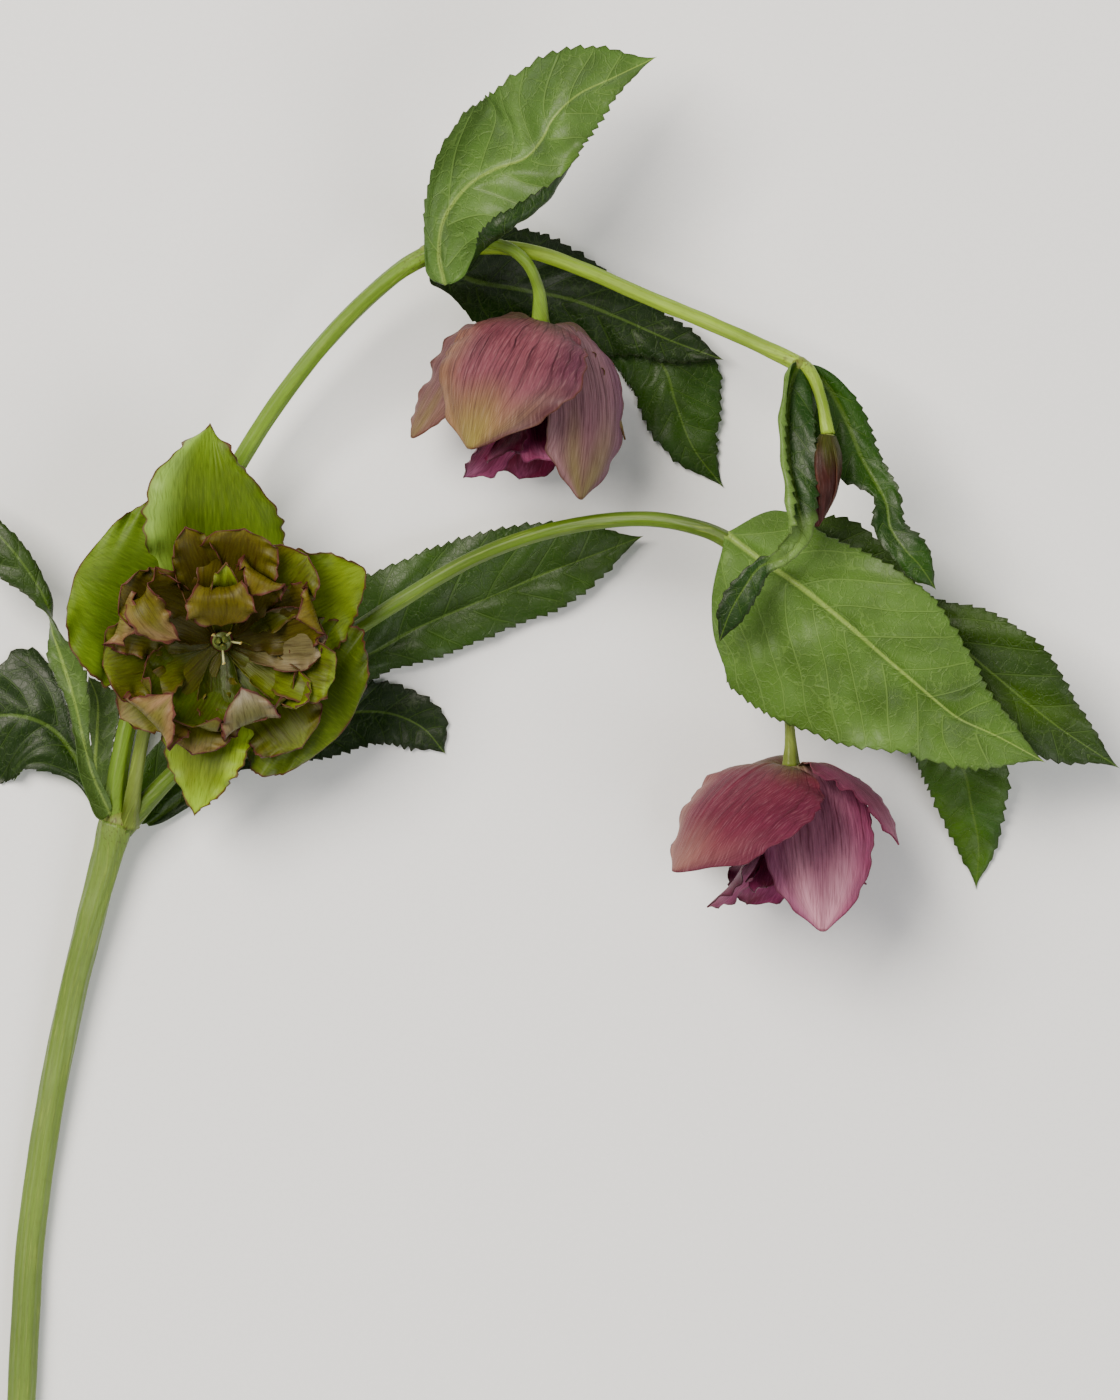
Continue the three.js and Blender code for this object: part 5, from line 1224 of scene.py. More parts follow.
# %% Sixteen sepals
SEPALS = {
    "green": [
        {"azimuth": 93, "cup": 14, "roll": -30, "wave": [1.7, 2.2, 0.1],
         "profile": [[1.6, 0.6], [12, 2.2], [25, 4.4], [37, 5], [47.5, 2.4]],
         "left": [2.6, 6, 10.5, 14.4, 16.4, 15.6, 13, 7, 0],
         "right": [2.6, 6, 10.5, 14.4, 15, 11.6, 7.4, 3.6, 0]},
        {"azimuth": 154, "cup": 10, "roll": 4, "wave": [1.9, 2.4, 0.6], "shingle": 16,
         "profile": [[1.6, 0.6], [9, 3], [19, 6.4], [28, 8.4], [35.2, 8]],
         "left": [2.6, 9, 15, 19, 20, 18.4, 13, 4], "right": [2.6, 9, 15, 19, 21.4, 21, 16, 6]},
        {"azimuth": 217, "cup": 12, "roll": 10, "wave": [1.1, 2, 0.4],
         "profile": [[1.6, 0.6], [8, 2.4], [16, 4.4], [23, 6], [28, 5.6]],
         "half": [2.6, 5, 8, 9.6, 9, 6, 0]},
        {"azimuth": 261, "cup": 10, "roll": -24, "wave": [1.4, 2.2, 0.8],
         "profile": [[1.6, 0.6], [9, 2], [19, 3.4], [30, 3.6], [39, 1.4]],
         "half": [2.6, 5.6, 9, 10.4, 8.8, 4.8, 0]},
        {"azimuth": 325, "cup": 8, "roll": -10, "wave": [1.6, 2.3, 0.3],
         "profile": [[1.6, 0.6], [9, 1.6], [18, 3.2], [26, 4.6], [33, 4.4]],
         "half": [2.6, 8, 13.4, 17, 19.4, 19, 14.4, 6]},
        {"azimuth": 27, "cup": 12, "roll": 10, "wave": [1.6, 2, 0.9],
         "profile": [[1.6, 0.6], [9, 3.4], [18, 6.6], [27, 8.8], [35, 9.4]],
         "half": [2.6, 6.4, 10.4, 12.8, 13, 10.6, 6.4, 2]},
    ],
    "mauve": [
        {"azimuth": 104, "turn": 24, "shingle": 0, "cup": 24, "wave": [0.9, 2, 0.2],
         "profile": [[1.8, 0.5], [7, -0.8], [15, 3.4], [20.8, 13.4], [22.6, 29]],
         "left": [2.8, 8, 13, 16, 17, 16.4, 13.6, 4], "right": [2.8, 7.4, 12, 16, 19.4, 22, 22.4, 15, 4]},
        {"azimuth": 38, "shingle": 6, "cup": 22, "roll": 0, "wave": [1.1, 1.8, 0.3],
         "profile": [[1.8, 0.5], [7, 0], [12, 6], [15.4, 20], [13.4, 38]],
         "half": [2.6, 5, 7.4, 9.4, 11, 12.4, 12.4, 10.4, 3]},
        {"azimuth": 352, "cup": 26, "wave": [0.8, 2, 0.5],
         "profile": [[1.8, 0.5], [7.4, -0.8], [12.6, 4.6], [16.6, 13], [19.8, 23.6]],
         "left": [2.8, 5, 6, 6.6, 6.8, 6.6, 5.2, 0], "right": [2.8, 6.4, 9.6, 11, 10.4, 8.8, 6, 0]},
        {"azimuth": 275, "cup": 26, "wave": [0.6, 2, 0.1],
         "profile": [[1.8, 0.5], [8, -0.6], [15, 4.4], [20.8, 13], [21.2, 25]],
         "half": [2.8, 7, 10.6, 12.6, 12.4, 11, 8, 0]},
        {"azimuth": 184, "shingle": -60, "cup": 16, "wave": [1.2, 1.8, 0.7],
         "profile": [[1.8, 0.5], [8, -0.8], [15.4, 4], [20.6, 13], [27, 25.6]],
         "half": [2.6, 4, 5.4, 7, 7.6, 7.4, 6.4, 2]},
    ],
    "pink": [
        {"azimuth": 124, "turn": 24, "shingle": 0, "cup": 20, "wave": [0.6, 2, 0.1],
         "profile": [[1.8, 0.5], [8.4, -0.8], [16.6, 3], [24.6, 10.4], [31, 22.4]],
         "left": [2.8, 8, 13, 15.6, 15.6, 14, 10.6, 4], "right": [2.8, 9.4, 17, 24, 28, 28.4, 22, 6]},
        {"azimuth": 69, "shingle": 4, "cup": 22, "wave": [0.6, 1.7, 0.6],
         "profile": [[1.8, 0.5], [7.4, 0], [12.8, 6], [16.6, 18], [16.4, 36]],
         "half": [2.6, 6, 8.6, 10.6, 12.4, 13.4, 13, 10, 3]},
        {"azimuth": 24, "shingle": -6, "cup": 14, "wave": [0.6, 2, 0.4],
         "profile": [[1.8, 0.5], [8, -0.6], [15, 3], [21, 8.8], [25, 17.4]],
         "half": [2.8, 7, 10.6, 12, 11.4, 9, 5.6, 0]},
        {"azimuth": 282, "cup": 24, "wave": [0.6, 2, 0.3],
         "profile": [[1.8, 0.5], [8, -1], [15.6, 2.6], [21, 12], [20.6, 26]],
         "half": [2.8, 7, 11, 13, 13, 11.6, 8, 0]},
        {"azimuth": 207, "shingle": -28, "cup": 20, "wave": [0.9, 1.8, 0.8],
         "profile": [[1.8, 0.5], [8.6, -1], [17, 3], [23.4, 9.4], [29.6, 16]],
         "half": [2.8, 7, 11, 12.6, 11.8, 9.4, 6, 0]},
    ],
}
SEPAL_SHINGLE = 12  # degrees that each sepal is tipped over its neighbour
SEPAL_COLOURS = {
    # Each: base, belly, tip, left margin, right margin
    "green": [
        # The top sepal's pale left margin is a painted sheen, where light catches that side of it.
        ("3c4c00", "4c6400", "6e9022", "8ab04c", "506a0a"),
        ("334400", "466000", "5c7810", "56700c", "5c7a14"),
        ("484a04", "5a5e10", "6e5c3c", "6a6a28", "6e5a34"),
        ("48540a", "627416", "95bb2a", "99bb22", "7a962a"),
        ("2f3600", "384a00", "4c600a", "44560a", "5a6e18"),
        ("3c4400", "516200", "738c15", "5a7010", "6a8018"),
    ],
    "mauve": [
        ("424622", "703c48", "847a34", "805c42", "50283c"),
        ("463a24", "7c5460", "746a40", "84606a", "683e5a"),
        ("423c20", "664840", "5c561e", "6e5c3a", "6c5a2c"),
        ("382c18", "58363a", "60502c", "5a3a38", "5a3a38"),
        ("3e3a20", "644446", "6e5e3c", "6c4a4a", "6c4648"),
    ],
    "pink": [
        ("55592a", "601a32", "8a625a", "8c645a", "5c1e38"),
        ("5c6830", "845068", "c48ca0", "84466a", "98466e"),
        ("54442c", "743a54", "94647a", "7c3456", "844062"),
        ("40321c", "602c40", "7c4c54", "682f44", "60263c"),
        ("443a20", "643640", "7c4c54", "6c3c44", "622c3c"),
    ],
}
print(sum(len(sepals) for sepals in SEPALS.values()), "sepals")

# %% Shape and paint a sepal or petal


def petal_blade(shape, flower):
    """A sepal or petal as a blade on the bench. Where it folds over, its front turns with its rib."""
    seat, basis = flower_frame(flower)
    profile = np.array(shape["profile"], float)
    swing = shape.get("turn", 0) * np.arange(len(profile)) / (len(profile) - 1)
    angle = np.radians(shape["azimuth"] + swing)
    lean = angle + math.radians(shape.get("shingle", 0))
    # Each row of steps is the way that the rib runs: out from the axis, and up along it.
    steps = np.ones(profile.shape)
    if shape.get("folds"):
        ends = np.concatenate([profile[:1], profile, profile[-1:]])
        steps = ends[2:] - ends[:-2]
    inward, upward = steps[:, 1], steps[:, 0]
    rib = np.stack([profile[:, 0] * np.cos(angle), profile[:, 0] * np.sin(angle), profile[:, 1]], axis=1)
    face = np.stack([-inward * np.cos(lean), -inward * np.sin(lean), upward], axis=1)
    blade = {"rib": rib @ basis + seat, "face": face @ basis, "wave": shape.get("wave")}
    for key in ("left", "right"):
        blade[key] = shape.get(key) or shape["half"]
        blade["cup_" + key] = shape.get("cup", 0)
        blade["roll_" + key] = shape.get("roll", 0)
    return blade


def paint_petal(grid, palette, seed):
    """Linear colours over a petal."""
    base, belly, tip, left, right = (np.array(colour(c)) for c in palette)
    u, share = grid["u"], grid["share"]
    shift = 0.06 * ripple(seed, 0.5, 2, share)
    skin = mix(base, belly, smooth(0.05, 0.45, u + shift))
    skin = mix(skin, tip, 0.9 * smooth(0.7, 1.0, u + shift))
    edge = smooth(0.35, 0.95, np.abs(share)) * smooth(0.2, 0.6, u + shift)
    skin = mix(skin, np.where((share < 0)[..., None], left, right), 0.85 * edge)
    cloud = 1 + 0.1 * ripple(seed + 1, 0.6, 2.4, u + 0.3 * share)
    out = skin * cloud[..., None]
    out[..., 3] = 1
    return np.clip(out, 0.001, 1)


print("palettes:", {flower: len(palettes) for flower, palettes in SEPAL_COLOURS.items()})

# %% [markdown]
# A sepal's margin is a little uneven and has small notches, and its fibres stand out as fine ridges.
# The ridges are in the relief, so they catch the light the way pressed silk does.

# %% Add a sepal or petal to its flower's piece
PETAL_STEP = 0.6  # mm between rows
PETAL_THICKNESS = 0.42
PETAL_COLUMNS, PETAL_COLUMN = 9, 0.8  # so many in each half, and one more for each 0.8 mm
FIBRE_WAVES = (4, 16)  # the fewest and the most ridges
KEEL_HEIGHT, KEEL_WIDTH = 0.3, 0.6  # mm, of the ridge on a petal's back


def add_petal(piece, flower, shape, palettes, seed, nibble, frill, ridges=0.03):
    """Adds one sepal or petal, with its own seed. palettes are those of its front and its back."""
    blade = petal_blade(shape, flower)
    widest = max(max(blade["left"]), max(blade["right"]))
    columns = int(PETAL_COLUMNS + widest / PETAL_COLUMN)
    grid = blade_grid(blade, PETAL_STEP, columns, nibble=nibble, frill=frill, seed=seed)
    u, share = grid["u"], grid["share"]
    fade = between((0, 0.25), (0.8, 1), u) * (1 - smooth(0.85, 1, np.abs(share)))
    fibres = ridges * ripple(seed + 5, *FIBRE_WAVES, 0.5 * share + 0.04 * np.sin(5 * u)) * fade
    keel = KEEL_HEIGHT * ridge(grid["sideways"], KEEL_WIDTH) * (1 - smooth(0.2, 0.7, u))
    relief = (fibres - 0.5 * keel, keel - fibres)
    tints = [paint_petal(grid, palette, seed) for palette in palettes]
    add_blade(piece, grid, PETAL_THICKNESS, (0, 0, 0), tints, relief=relief)


def flower_ball(piece, flower, height, size, tint, skin=0, seed=1):
    """Adds a lumpy ball on a flower's axis."""
    seat, basis = flower_frame(flower)
    add_ball(piece, seat + height * basis[2], size, tint, skin=skin, seed=seed, basis=basis)


SEPAL_FINISH = {
    # material, slot, nibble, frill
    "green": (GREEN_SEPAL, "green_sepal", 0.6, 1.4),
    "mauve": (MAUVE_SEPAL, "mauve_sepal", 0.5, 0.7),
    "pink": (PINK_SEPAL, "pink_sepal", 0.45, 0.6),
}
for flower, (material, slot, nibble, frill) in SEPAL_FINISH.items():
    piece = Piece(flower + "_sepals_fine", [material, STALK_SKIN])
    for k, sepal in enumerate(SEPALS[flower]):
        shape = {"shingle": SEPAL_SHINGLE, **sepal}
        add_petal(piece, flower, shape, [SEPAL_COLOURS[flower][k]] * 2, 40 + 9 * k, nibble, frill)
    flower_ball(piece, flower, 1.5, [2.6, 2.6, 1.3], "7f8a40", skin=1, seed=6)
    finish_piece(piece.make(), slot, flower + "_sepals")

# %% [markdown]
# ## The frilled petals of the open bloom
#
# In a double flower the nectaries have become petals. The open bloom shows every one of them, and no
# two are alike: some stand up round the heart, some lie out over the sepals, and some fold over so that
# their back is seen. So they have a list too. `folds` marks those whose front turns with the rib, and
# `skin` says how they are coloured: with a palette for the front and one for the back.

# %% Twenty petals of the open bloom
GREEN_PETALS = [
    {"skin": "bowl", "azimuth": 236, "cup": 30, "roll": 40, "wave": [0.8, 1.6, 0.1],
     "profile": [[1.6, 3], [7, 4], [13.4, 7], [18, 11.6], [19.6, 16]],
     "half": [4, 9, 12.4, 13.4, 10.6, 0]},
    {"skin": "bowl", "azimuth": 300, "cup": 24, "roll": 30, "wave": [0.8, 1.7, 0.5],
     "profile": [[1.6, 3], [7, 4], [12.6, 6.6], [17, 11], [18.8, 15]], "half": [4, 9, 12.4, 13, 9.6, 0]},
    {"skin": "pearl", "azimuth": 4, "cup": 20, "roll": 70, "wave": [1, 1.8, 0.3],
     "profile": [[1.6, 3], [8, 6], [14, 10], [19.4, 13.4], [23, 15]], "half": [2, 5, 7.4, 8.6, 7, 0]},
    {"skin": "olive", "azimuth": 307, "cup": 8, "wave": [2.6, 2.1, 0.2],
     "profile": [[1.6, 3], [10, 3.6], [18, 5.4], [25, 7.4], [29, 8]], "half": [2, 5, 8, 9, 7.6, 0]},
    {"skin": "pinkish", "azimuth": 255, "cup": 6, "roll": -20, "wave": [2.4, 2.2, 0.7],
     "profile": [[1.6, 3], [9, 4], [16, 6.4], [21.6, 9], [25.4, 9.6]], "half": [2, 5, 8, 8.4, 5.6, 0]},
    {"skin": "mauve back", "azimuth": 284, "turn": 10, "folds": True, "cup": -10, "wave": [0.8, 2, 0.4],
     "profile": [[1.6, 3], [10, 5], [16.6, 9.4], [18, 14], [14.6, 16.8], [10, 16]],
     "half": [2, 4, 6, 6.6, 6.4, 4.6, 0]},
    {"skin": "pink back", "azimuth": 230, "turn": -6, "folds": True, "cup": 0, "wave": [1.2, 2.4, 0.1],
     "profile": [[1.6, 3], [10, 5.6], [18, 10], [22.4, 15], [20.4, 18.4], [14.6, 17.4]],
     "half": [2, 5, 7, 8, 7, 4.6, 0]},
    {"skin": "olive", "azimuth": 190, "cup": 16, "roll": 20, "wave": [2.2, 1.8, 0.6],
     "profile": [[1.6, 3], [10, 5.4], [17.6, 9.4], [23.4, 13], [26.4, 13.6]], "half": [2, 6, 9, 10, 8, 0]},
    {"skin": "light", "azimuth": 327, "cup": 30, "roll": 80, "wave": [1, 2, 0.2],
     "profile": [[1.6, 3], [9, 5.4], [16.4, 9.6], [21, 13.4], [22.4, 16]], "half": [2, 4, 5.4, 5.6, 4, 0]},
    {"skin": "light", "azimuth": 343, "cup": 10, "roll": 30, "wave": [2.6, 2.2, 0.8],
     "profile": [[1.6, 3], [10, 6], [17.6, 11], [23.4, 14.6], [25.6, 14]], "half": [2, 5, 7, 7.4, 5.6, 0]},
    {"skin": "brown", "azimuth": 92, "folds": True, "cup": -14, "wave": [0.4, 2, 0.2],
     "profile": [[1.6, 3.4], [6.4, 9], [10.4, 15], [12.6, 19.4], [10.6, 22], [7, 19.6], [4, 15.4]],
     "half": [2, 3.6, 3.6, 3.2, 3.4, 5, 7, 7.6, 5.4, 0]},
    {"skin": "pink tip", "azimuth": 112, "turn": 62, "folds": True, "cup": -10, "wave": [0.8, 2, 0.5],
     "profile": [[1.6, 3.2], [10, 9], [17.4, 14.6], [20, 18.6], [15, 19.4], [9, 15.4]],
     "half": [2, 4.6, 5.4, 4.6, 4, 4.6, 3, 0]},
    {"skin": "brown", "azimuth": 149, "cup": 14, "roll": 50, "wave": [2.2, 2, 0.9],
     "profile": [[1.6, 3.2], [10, 8], [17.6, 13], [23, 16], [25.4, 17]], "half": [2, 5, 7.4, 7.6, 5.6, 0]},
    {"skin": "pink back", "azimuth": 165, "folds": True, "cup": 6, "wave": [1.2, 2.4, 0.3],
     "profile": [[1.6, 3.2], [10, 7], [17.6, 11.4], [22.6, 15.4], [21, 18], [17.4, 17]],
     "half": [2, 5, 7, 7.6, 6.4, 4, 0]},
    {"skin": "brown", "azimuth": 107, "cup": 26, "roll": 70, "wave": [1.4, 2.2, 0.4],
     "profile": [[1.6, 3.4], [9, 8.4], [16.4, 13], [23, 16.6], [27, 17]], "half": [2, 4, 6, 6.4, 4.4, 0]},
    {"skin": "brown", "azimuth": 79, "cup": 6, "roll": 20, "wave": [2.4, 1.9, 0.7],
     "profile": [[1.6, 3.4], [9, 9], [16.4, 14.6], [22.6, 18], [26, 18.6]], "half": [2, 5, 8, 9, 7.4, 0]},
    {"skin": "light", "azimuth": 87, "cup": 30, "roll": 70, "wave": [0.8, 2, 0.1],
     "profile": [[1.6, 3.4], [6, 9], [10.4, 15], [14.4, 19.4], [18.4, 21]],
     "half": [1.6, 3, 4, 4.4, 3, 0]},
    {"skin": "brown", "azimuth": 60, "folds": True, "cup": -8, "wave": [0.8, 2.2, 0.6],
     "profile": [[1.6, 3.4], [8, 9], [13.4, 14.4], [17.4, 18.6], [16.4, 20.8], [12.4, 19.4]],
     "half": [2, 4, 5.4, 6, 5.6, 3.6, 0]},
    {"skin": "olive", "azimuth": 46, "cup": 14, "roll": 30, "wave": [2.4, 2, 0.3],
     "profile": [[1.6, 3.2], [10, 8], [18, 12.6], [24, 15], [27, 15.4]], "half": [2, 5, 7.6, 8, 6, 0]},
    {"skin": "brown", "azimuth": 20, "folds": True, "cup": 8, "wave": [1.6, 2.2, 0.5],
     "profile": [[1.6, 3.2], [9, 7.4], [16, 12], [21, 15.6], [20.6, 18], [17, 18.4]],
     "half": [2, 5, 7, 7.4, 6, 4, 0]},
]
DULL_GREEN = ("343800", "424600", "545614", "545014", "545014")
GREEN_SKINS = {
    # name: front, back; each: base, belly, tip, left margin, right margin
    "bowl": (
        ("263600", "344600", "485a04", "4a5404", "4a5404"),
        ("404c00", "4e5808", "62642c", "5c5c28", "5c5c28"),
    ),
    "mauve back": (DULL_GREEN, ("484e14", "5c5c34", "807868", "7c7058", "74684c")),
    "pearl": (("343600", "5a5434", "807460", "746850", "84765c"), DULL_GREEN),
    "olive": (
        ("333a00", "485200", "5e6c14", "585414", "565c18"),
        ("4c5408", "5c6614", "707828", "68642c", "686c2c"),
    ),
    "pinkish": (
        ("383600", "4e5008", "78643c", "6c5c30", "605824"),
        ("4c4c08", "606418", "8a7050", "806848", "746038"),
    ),
    "pink back": (
        ("383a00", "4a4c04", "64581c", "60501c", "5c5018"),
        ("4a4c10", "646028", "8a6c50", "866848", "7c6440"),
    ),
    "light": (
        ("343c00", "4c5800", "7c9424", "6c801c", "647818"),
        ("505810", "627018", "84943c", "788830", "7c8834"),
    ),
    "brown": (
        ("2e2c00", "403a00", "524c04", "585204", "525004"),
        ("403c00", "504a04", "645818", "645c1c", "605818"),
    ),
    "pink tip": (
        ("323000", "484200", "745c30", "604e14", "54480c"),
        ("444408", "58540c", "8c7050", "746438", "685c28"),
    ),
}
print(len(GREEN_PETALS), "petals in", len(GREEN_SKINS), "skins")

# %% [markdown]
# ## Whorls of petals in the nodding blooms
#
# Of the two nodding blooms only the mouth's lower rims are seen, so their petals stand in two plain
# rings, one inside the other. Each ring is regular but for the luck of growth: a repeatable die shakes
# every petal's size, place and waves. It is the same die as in the CAD model, which puts each fine
# petal where its plain one was.

# %% Whorls
WHORLS = {
    "mauve": [
        {"count": 6, "first": 76, "reach": 14.6, "height": 31, "half": 8, "cup": 30, "wave": 1.8},
        {"count": 3, "first": 100, "reach": 9.4, "height": 27, "half": 6, "cup": 40, "wave": 1.4},
    ],
    "pink": [
        {"count": 6, "first": 112, "reach": 17.4, "height": 27, "half": 8, "cup": 30, "wave": 1.8},
        {"count": 3, "first": 50, "reach": 10, "height": 23, "half": 5.6, "cup": 44, "wave": 1},
    ],
}
WHORL_BASE = (1.4, 3)  # distance from the axis, height
WHORL_PATH = ((0, 0), (0.3, 0.42), (0.66, 0.8), (1, 1))  # shares of a petal's way out and up
WHORL_SHINGLE = 24  # degrees
LEAST_SIZE, SIZE_LUCK = 0.88, 0.24
PLACE_LUCK = 12  # degrees
DIE_FACTOR, DIE_STEP, DIE_FACES = 1664525, 1013904223, 2**32
WHORL_COLOURS = {
    "mauve": [
        ("5a2038", "701c44", "b06890", "9a4470", "641c40"),
        ("50142a", "64102f", "8c4068", "741040", "5c1030"),
    ],
    "pink": [
        ("5c2c3c", "80305c", "561028", "8c3060", "601438"),
        ("6a303f", "90406c", "7c2448", "8c3060", "701c44"),
    ],
}


def die(seed):
    """A repeatable number in 0..1 for each call."""
    state = [seed]

    def roll():
        state[0] = (state[0] * DIE_FACTOR + DIE_STEP) % DIE_FACES
        return state[0] / DIE_FACES

    return roll


def whorl_petals(flower):
    """The shapes and palettes of a nodding flower's inner petals."""
    roll = die(len(flower) * 97 + 11)
    r0, h0 = WHORL_BASE
    palettes = WHORL_COLOURS[flower]
    petals = []
    for ring in WHORLS[flower]:
        for k in range(ring["count"]):
            size = LEAST_SIZE + SIZE_LUCK * roll()
            azimuth = ring["first"] + 360 * k / ring["count"] + PLACE_LUCK * (roll() - 0.5)
            out, up = ring["reach"] * size - r0, ring["height"] * size - h0
            shape = {
                "azimuth": azimuth,
                "profile": [[r0 + a * out, h0 + b * up] for a, b in WHORL_PATH],
                "half": [1.6] + [ring["half"] * s for s in (0.55, 0.9, size, 0.8)] + [0],
                "cup": ring["cup"],
                "wave": [ring["wave"] * (0.7 + 0.6 * roll()), 1.3 + roll(), roll()],
                "shingle": WHORL_SHINGLE,
            }
            petals.append((shape, [palettes[len(petals) % len(palettes)]] * 2))
    return petals


print("inner petals:", {flower: len(whorl_petals(flower)) for flower in WHORLS})

# %% All inner petals
open_petals = [(petal, GREEN_SKINS[petal["skin"]]) for petal in GREEN_PETALS]
INNER = {
    # flower: material, slot, nibble, frill, petals with their palettes, colour of the cushion
    "green": (GREEN_PETAL, "green_petal", 0.4, 1.9, open_petals, "323a00"),
    "mauve": (MAUVE_PETAL, "mauve_petal", 0.4, 0.8, whorl_petals("mauve"), "4a2030"),
    "pink": (PINK_PETAL, "pink_petal", 0.4, 0.8, whorl_petals("pink"), "503038"),
}
for flower, (material, slot, nibble, frill, petals, cushion) in INNER.items():
    piece = Piece(flower + "_petals_fine", [material])
    for k, (shape, palettes) in enumerate(petals):
        add_petal(piece, flower, shape, palettes, 90 + 7 * k, nibble, frill, ridges=0.04)
    flower_ball(piece, flower, 3.8, [2.5, 2.5, 1.5], cushion, seed=7)
    finish_piece(piece.make(), slot, flower + "_petals")

# %% [markdown]
# ## The bud
#
# Five sepals wrap round each other in a spiral, each with one margin under its neighbour and one over
# it. That overlap is what the eye reads as a bud, so each sepal is a sheet of its own.

# %% Five wrapped sepals
BUD_PROFILE = [1.6, 3, 3.6, 3.6, 3.3, 2.6, 1.6, 0.4]
BUD_LENGTH = 20
BUD_THICKNESS = 0.3
BUD_START = 0.3  # mm above its seat
BUD_SEPALS = 5
BUD_TWIST = 0.9  # of a sepal's place, over the length
BUD_TUCK = 0.8  # of a place: how far a sepal reaches back, under its neighbour
BUD_OPEN = 0.1  # how much further out its free margin lies than its middle, of the radius
BUD_LAST_ROW = 0.985  # of the length, just before the tip
BUD_HALF = 3.4  # mm, about half the width of a sepal
BUD_COLOURS = ("363c0c", "34100c", "5c2c30", "64303c", "301008")


def add_bud_sepal(piece, k):
    """Adds the bud's sepal number k."""
    rows, columns = 46, 33
    t = np.linspace(0, BUD_LAST_ROW, rows)[:, None] * np.ones((1, columns))
    w = np.linspace(-BUD_TUCK, 1, columns)[None] * np.ones((rows, 1))
    narrow = 1 - 0.5 * smooth(0.86, 1, t)
    angle = 2 * np.pi / BUD_SEPALS * (k + w * narrow - BUD_TWIST * t)
    r = track(BUD_PROFILE, t) * (1 + BUD_OPEN * w + 0.015 * ripple(k + 3, 1, 4, t + 0.2 * w))
    seat, basis = flower_frame("bud")
    local = np.stack([r * np.cos(angle), r * np.sin(angle), BUD_START + BUD_LENGTH * t], axis=-1)
    share = (w + BUD_TUCK) / ((1 + BUD_TUCK) / 2) - 1
    grid = {
        "points": local @ basis + seat, "share": share, "sideways": share * BUD_HALF,
        "widest": np.full(share.shape, BUD_HALF), "u": t, "length": BUD_LENGTH,
        "tip": np.array([0.15 * math.cos(k), 0.15 * math.sin(k), BUD_START + BUD_LENGTH]) @ basis + seat,
    }
    fibres = 0.035 * ripple(60 + k, 5, 14, 0.5 * share) * (1 - smooth(0.7, 1, t))
    tint = paint_petal(grid, BUD_COLOURS, 70 + k)
    add_blade(piece, grid, BUD_THICKNESS, (0, 0, 0), (tint, tint), relief=(fibres, FLAT))


bud = Piece("bud_fine", [BUD_SKIN, STALK_SKIN])
for k in range(BUD_SEPALS):
    add_bud_sepal(bud, k)
flower_ball(bud, "bud", 0.9, [1.9, 1.9, 1.2], "7c8646", skin=1, seed=8)
finish_piece(bud.make(), "bud_purple", "bud")

# %% [markdown]
# ## Stamens
#
# Stamens repeat: a bent thread with a two-lobed anther on its end, set round the heart at the golden
# angle, so that no two stand behind each other. That is a job for Geometry Nodes. The tree plants
# points on that spiral, grows a curve from each, gives the curves thickness and puts anthers on their
# ends. Its named inputs are what a gardener would count: how many, how tall, how far they lean. The
# seed is fixed. The tree works in millimetres and turns its result onto the flower's seat.

# %% Materials of the heart


def heart_skin(name, base_colour, other_colour, scale, roughness):
    """Skin of a small part of the heart, grained in all directions."""
    material, tree = new_material(name)
    place = object_place(tree)
    cells = cell_pattern(tree, place, scale)
    grain = noise(tree, place, scale / 4, 4.0)
    base = blend(tree, remap(tree, grain, 0.35, 0.65), base_colour, other_colour)
    rough = remap(tree, cells, 0.0, 0.7, roughness - 0.06, roughness + 0.1)
    skin_output(tree, base, rough, cells, 0.4, 0.1, **{"Subsurface Weight": 0.08})
    return material


FILAMENT = heart_skin("stamen thread, cream", "d8d6a0", "b9bd7c", 1500.0, 0.5)
ANTHER = heart_skin("anther, pale yellow", "d6c878", "b79f4e", 3800.0, 0.7)
POD = heart_skin("seed pod, green", "6c7834", "465018", 1800.0, 0.5)
print("heart:", [skin.name for skin in (FILAMENT, ANTHER, POD)])

# %% The stamens' Geometry Nodes tree
GOLDEN_ANGLE = math.radians(137.5)
RING_RADIUS, RING_LUCK = 1.3, 0.5  # mm from the axis, and how much more with luck
LEAST_LEAN, LEAN_LUCK = 0.3, 1.2  # of the lean
LEAST_HEIGHT, HEIGHT_LUCK = 0.72, 0.28  # of the height
BOW = {"Start": (0, 0, 0), "Middle": (0.02, 0, 0.6), "End": (0.16, 0, 1.0), "Resolution": 10}
LOBE_PLACE, LOBE_SIZE = 0.27, (0.36, 0.36, 1.0)  # of an anther of length 1
ANTHER_TILT, ANTHER_SWING = (0.5, 0.4), 1.7  # radians, and the last for each stamen
SOCKETS = (
    ("Count", "Int"), ("Height", "Float"), ("Lean", "Float"), ("Floor", "Float"), ("Seed", "Int"),
    ("Thread radius", "Float"), ("Anther length", "Float"), ("Seat", "Vector"), ("Turn", "Vector"),
    ("Thread", "Material"), ("Anther", "Material"),
)


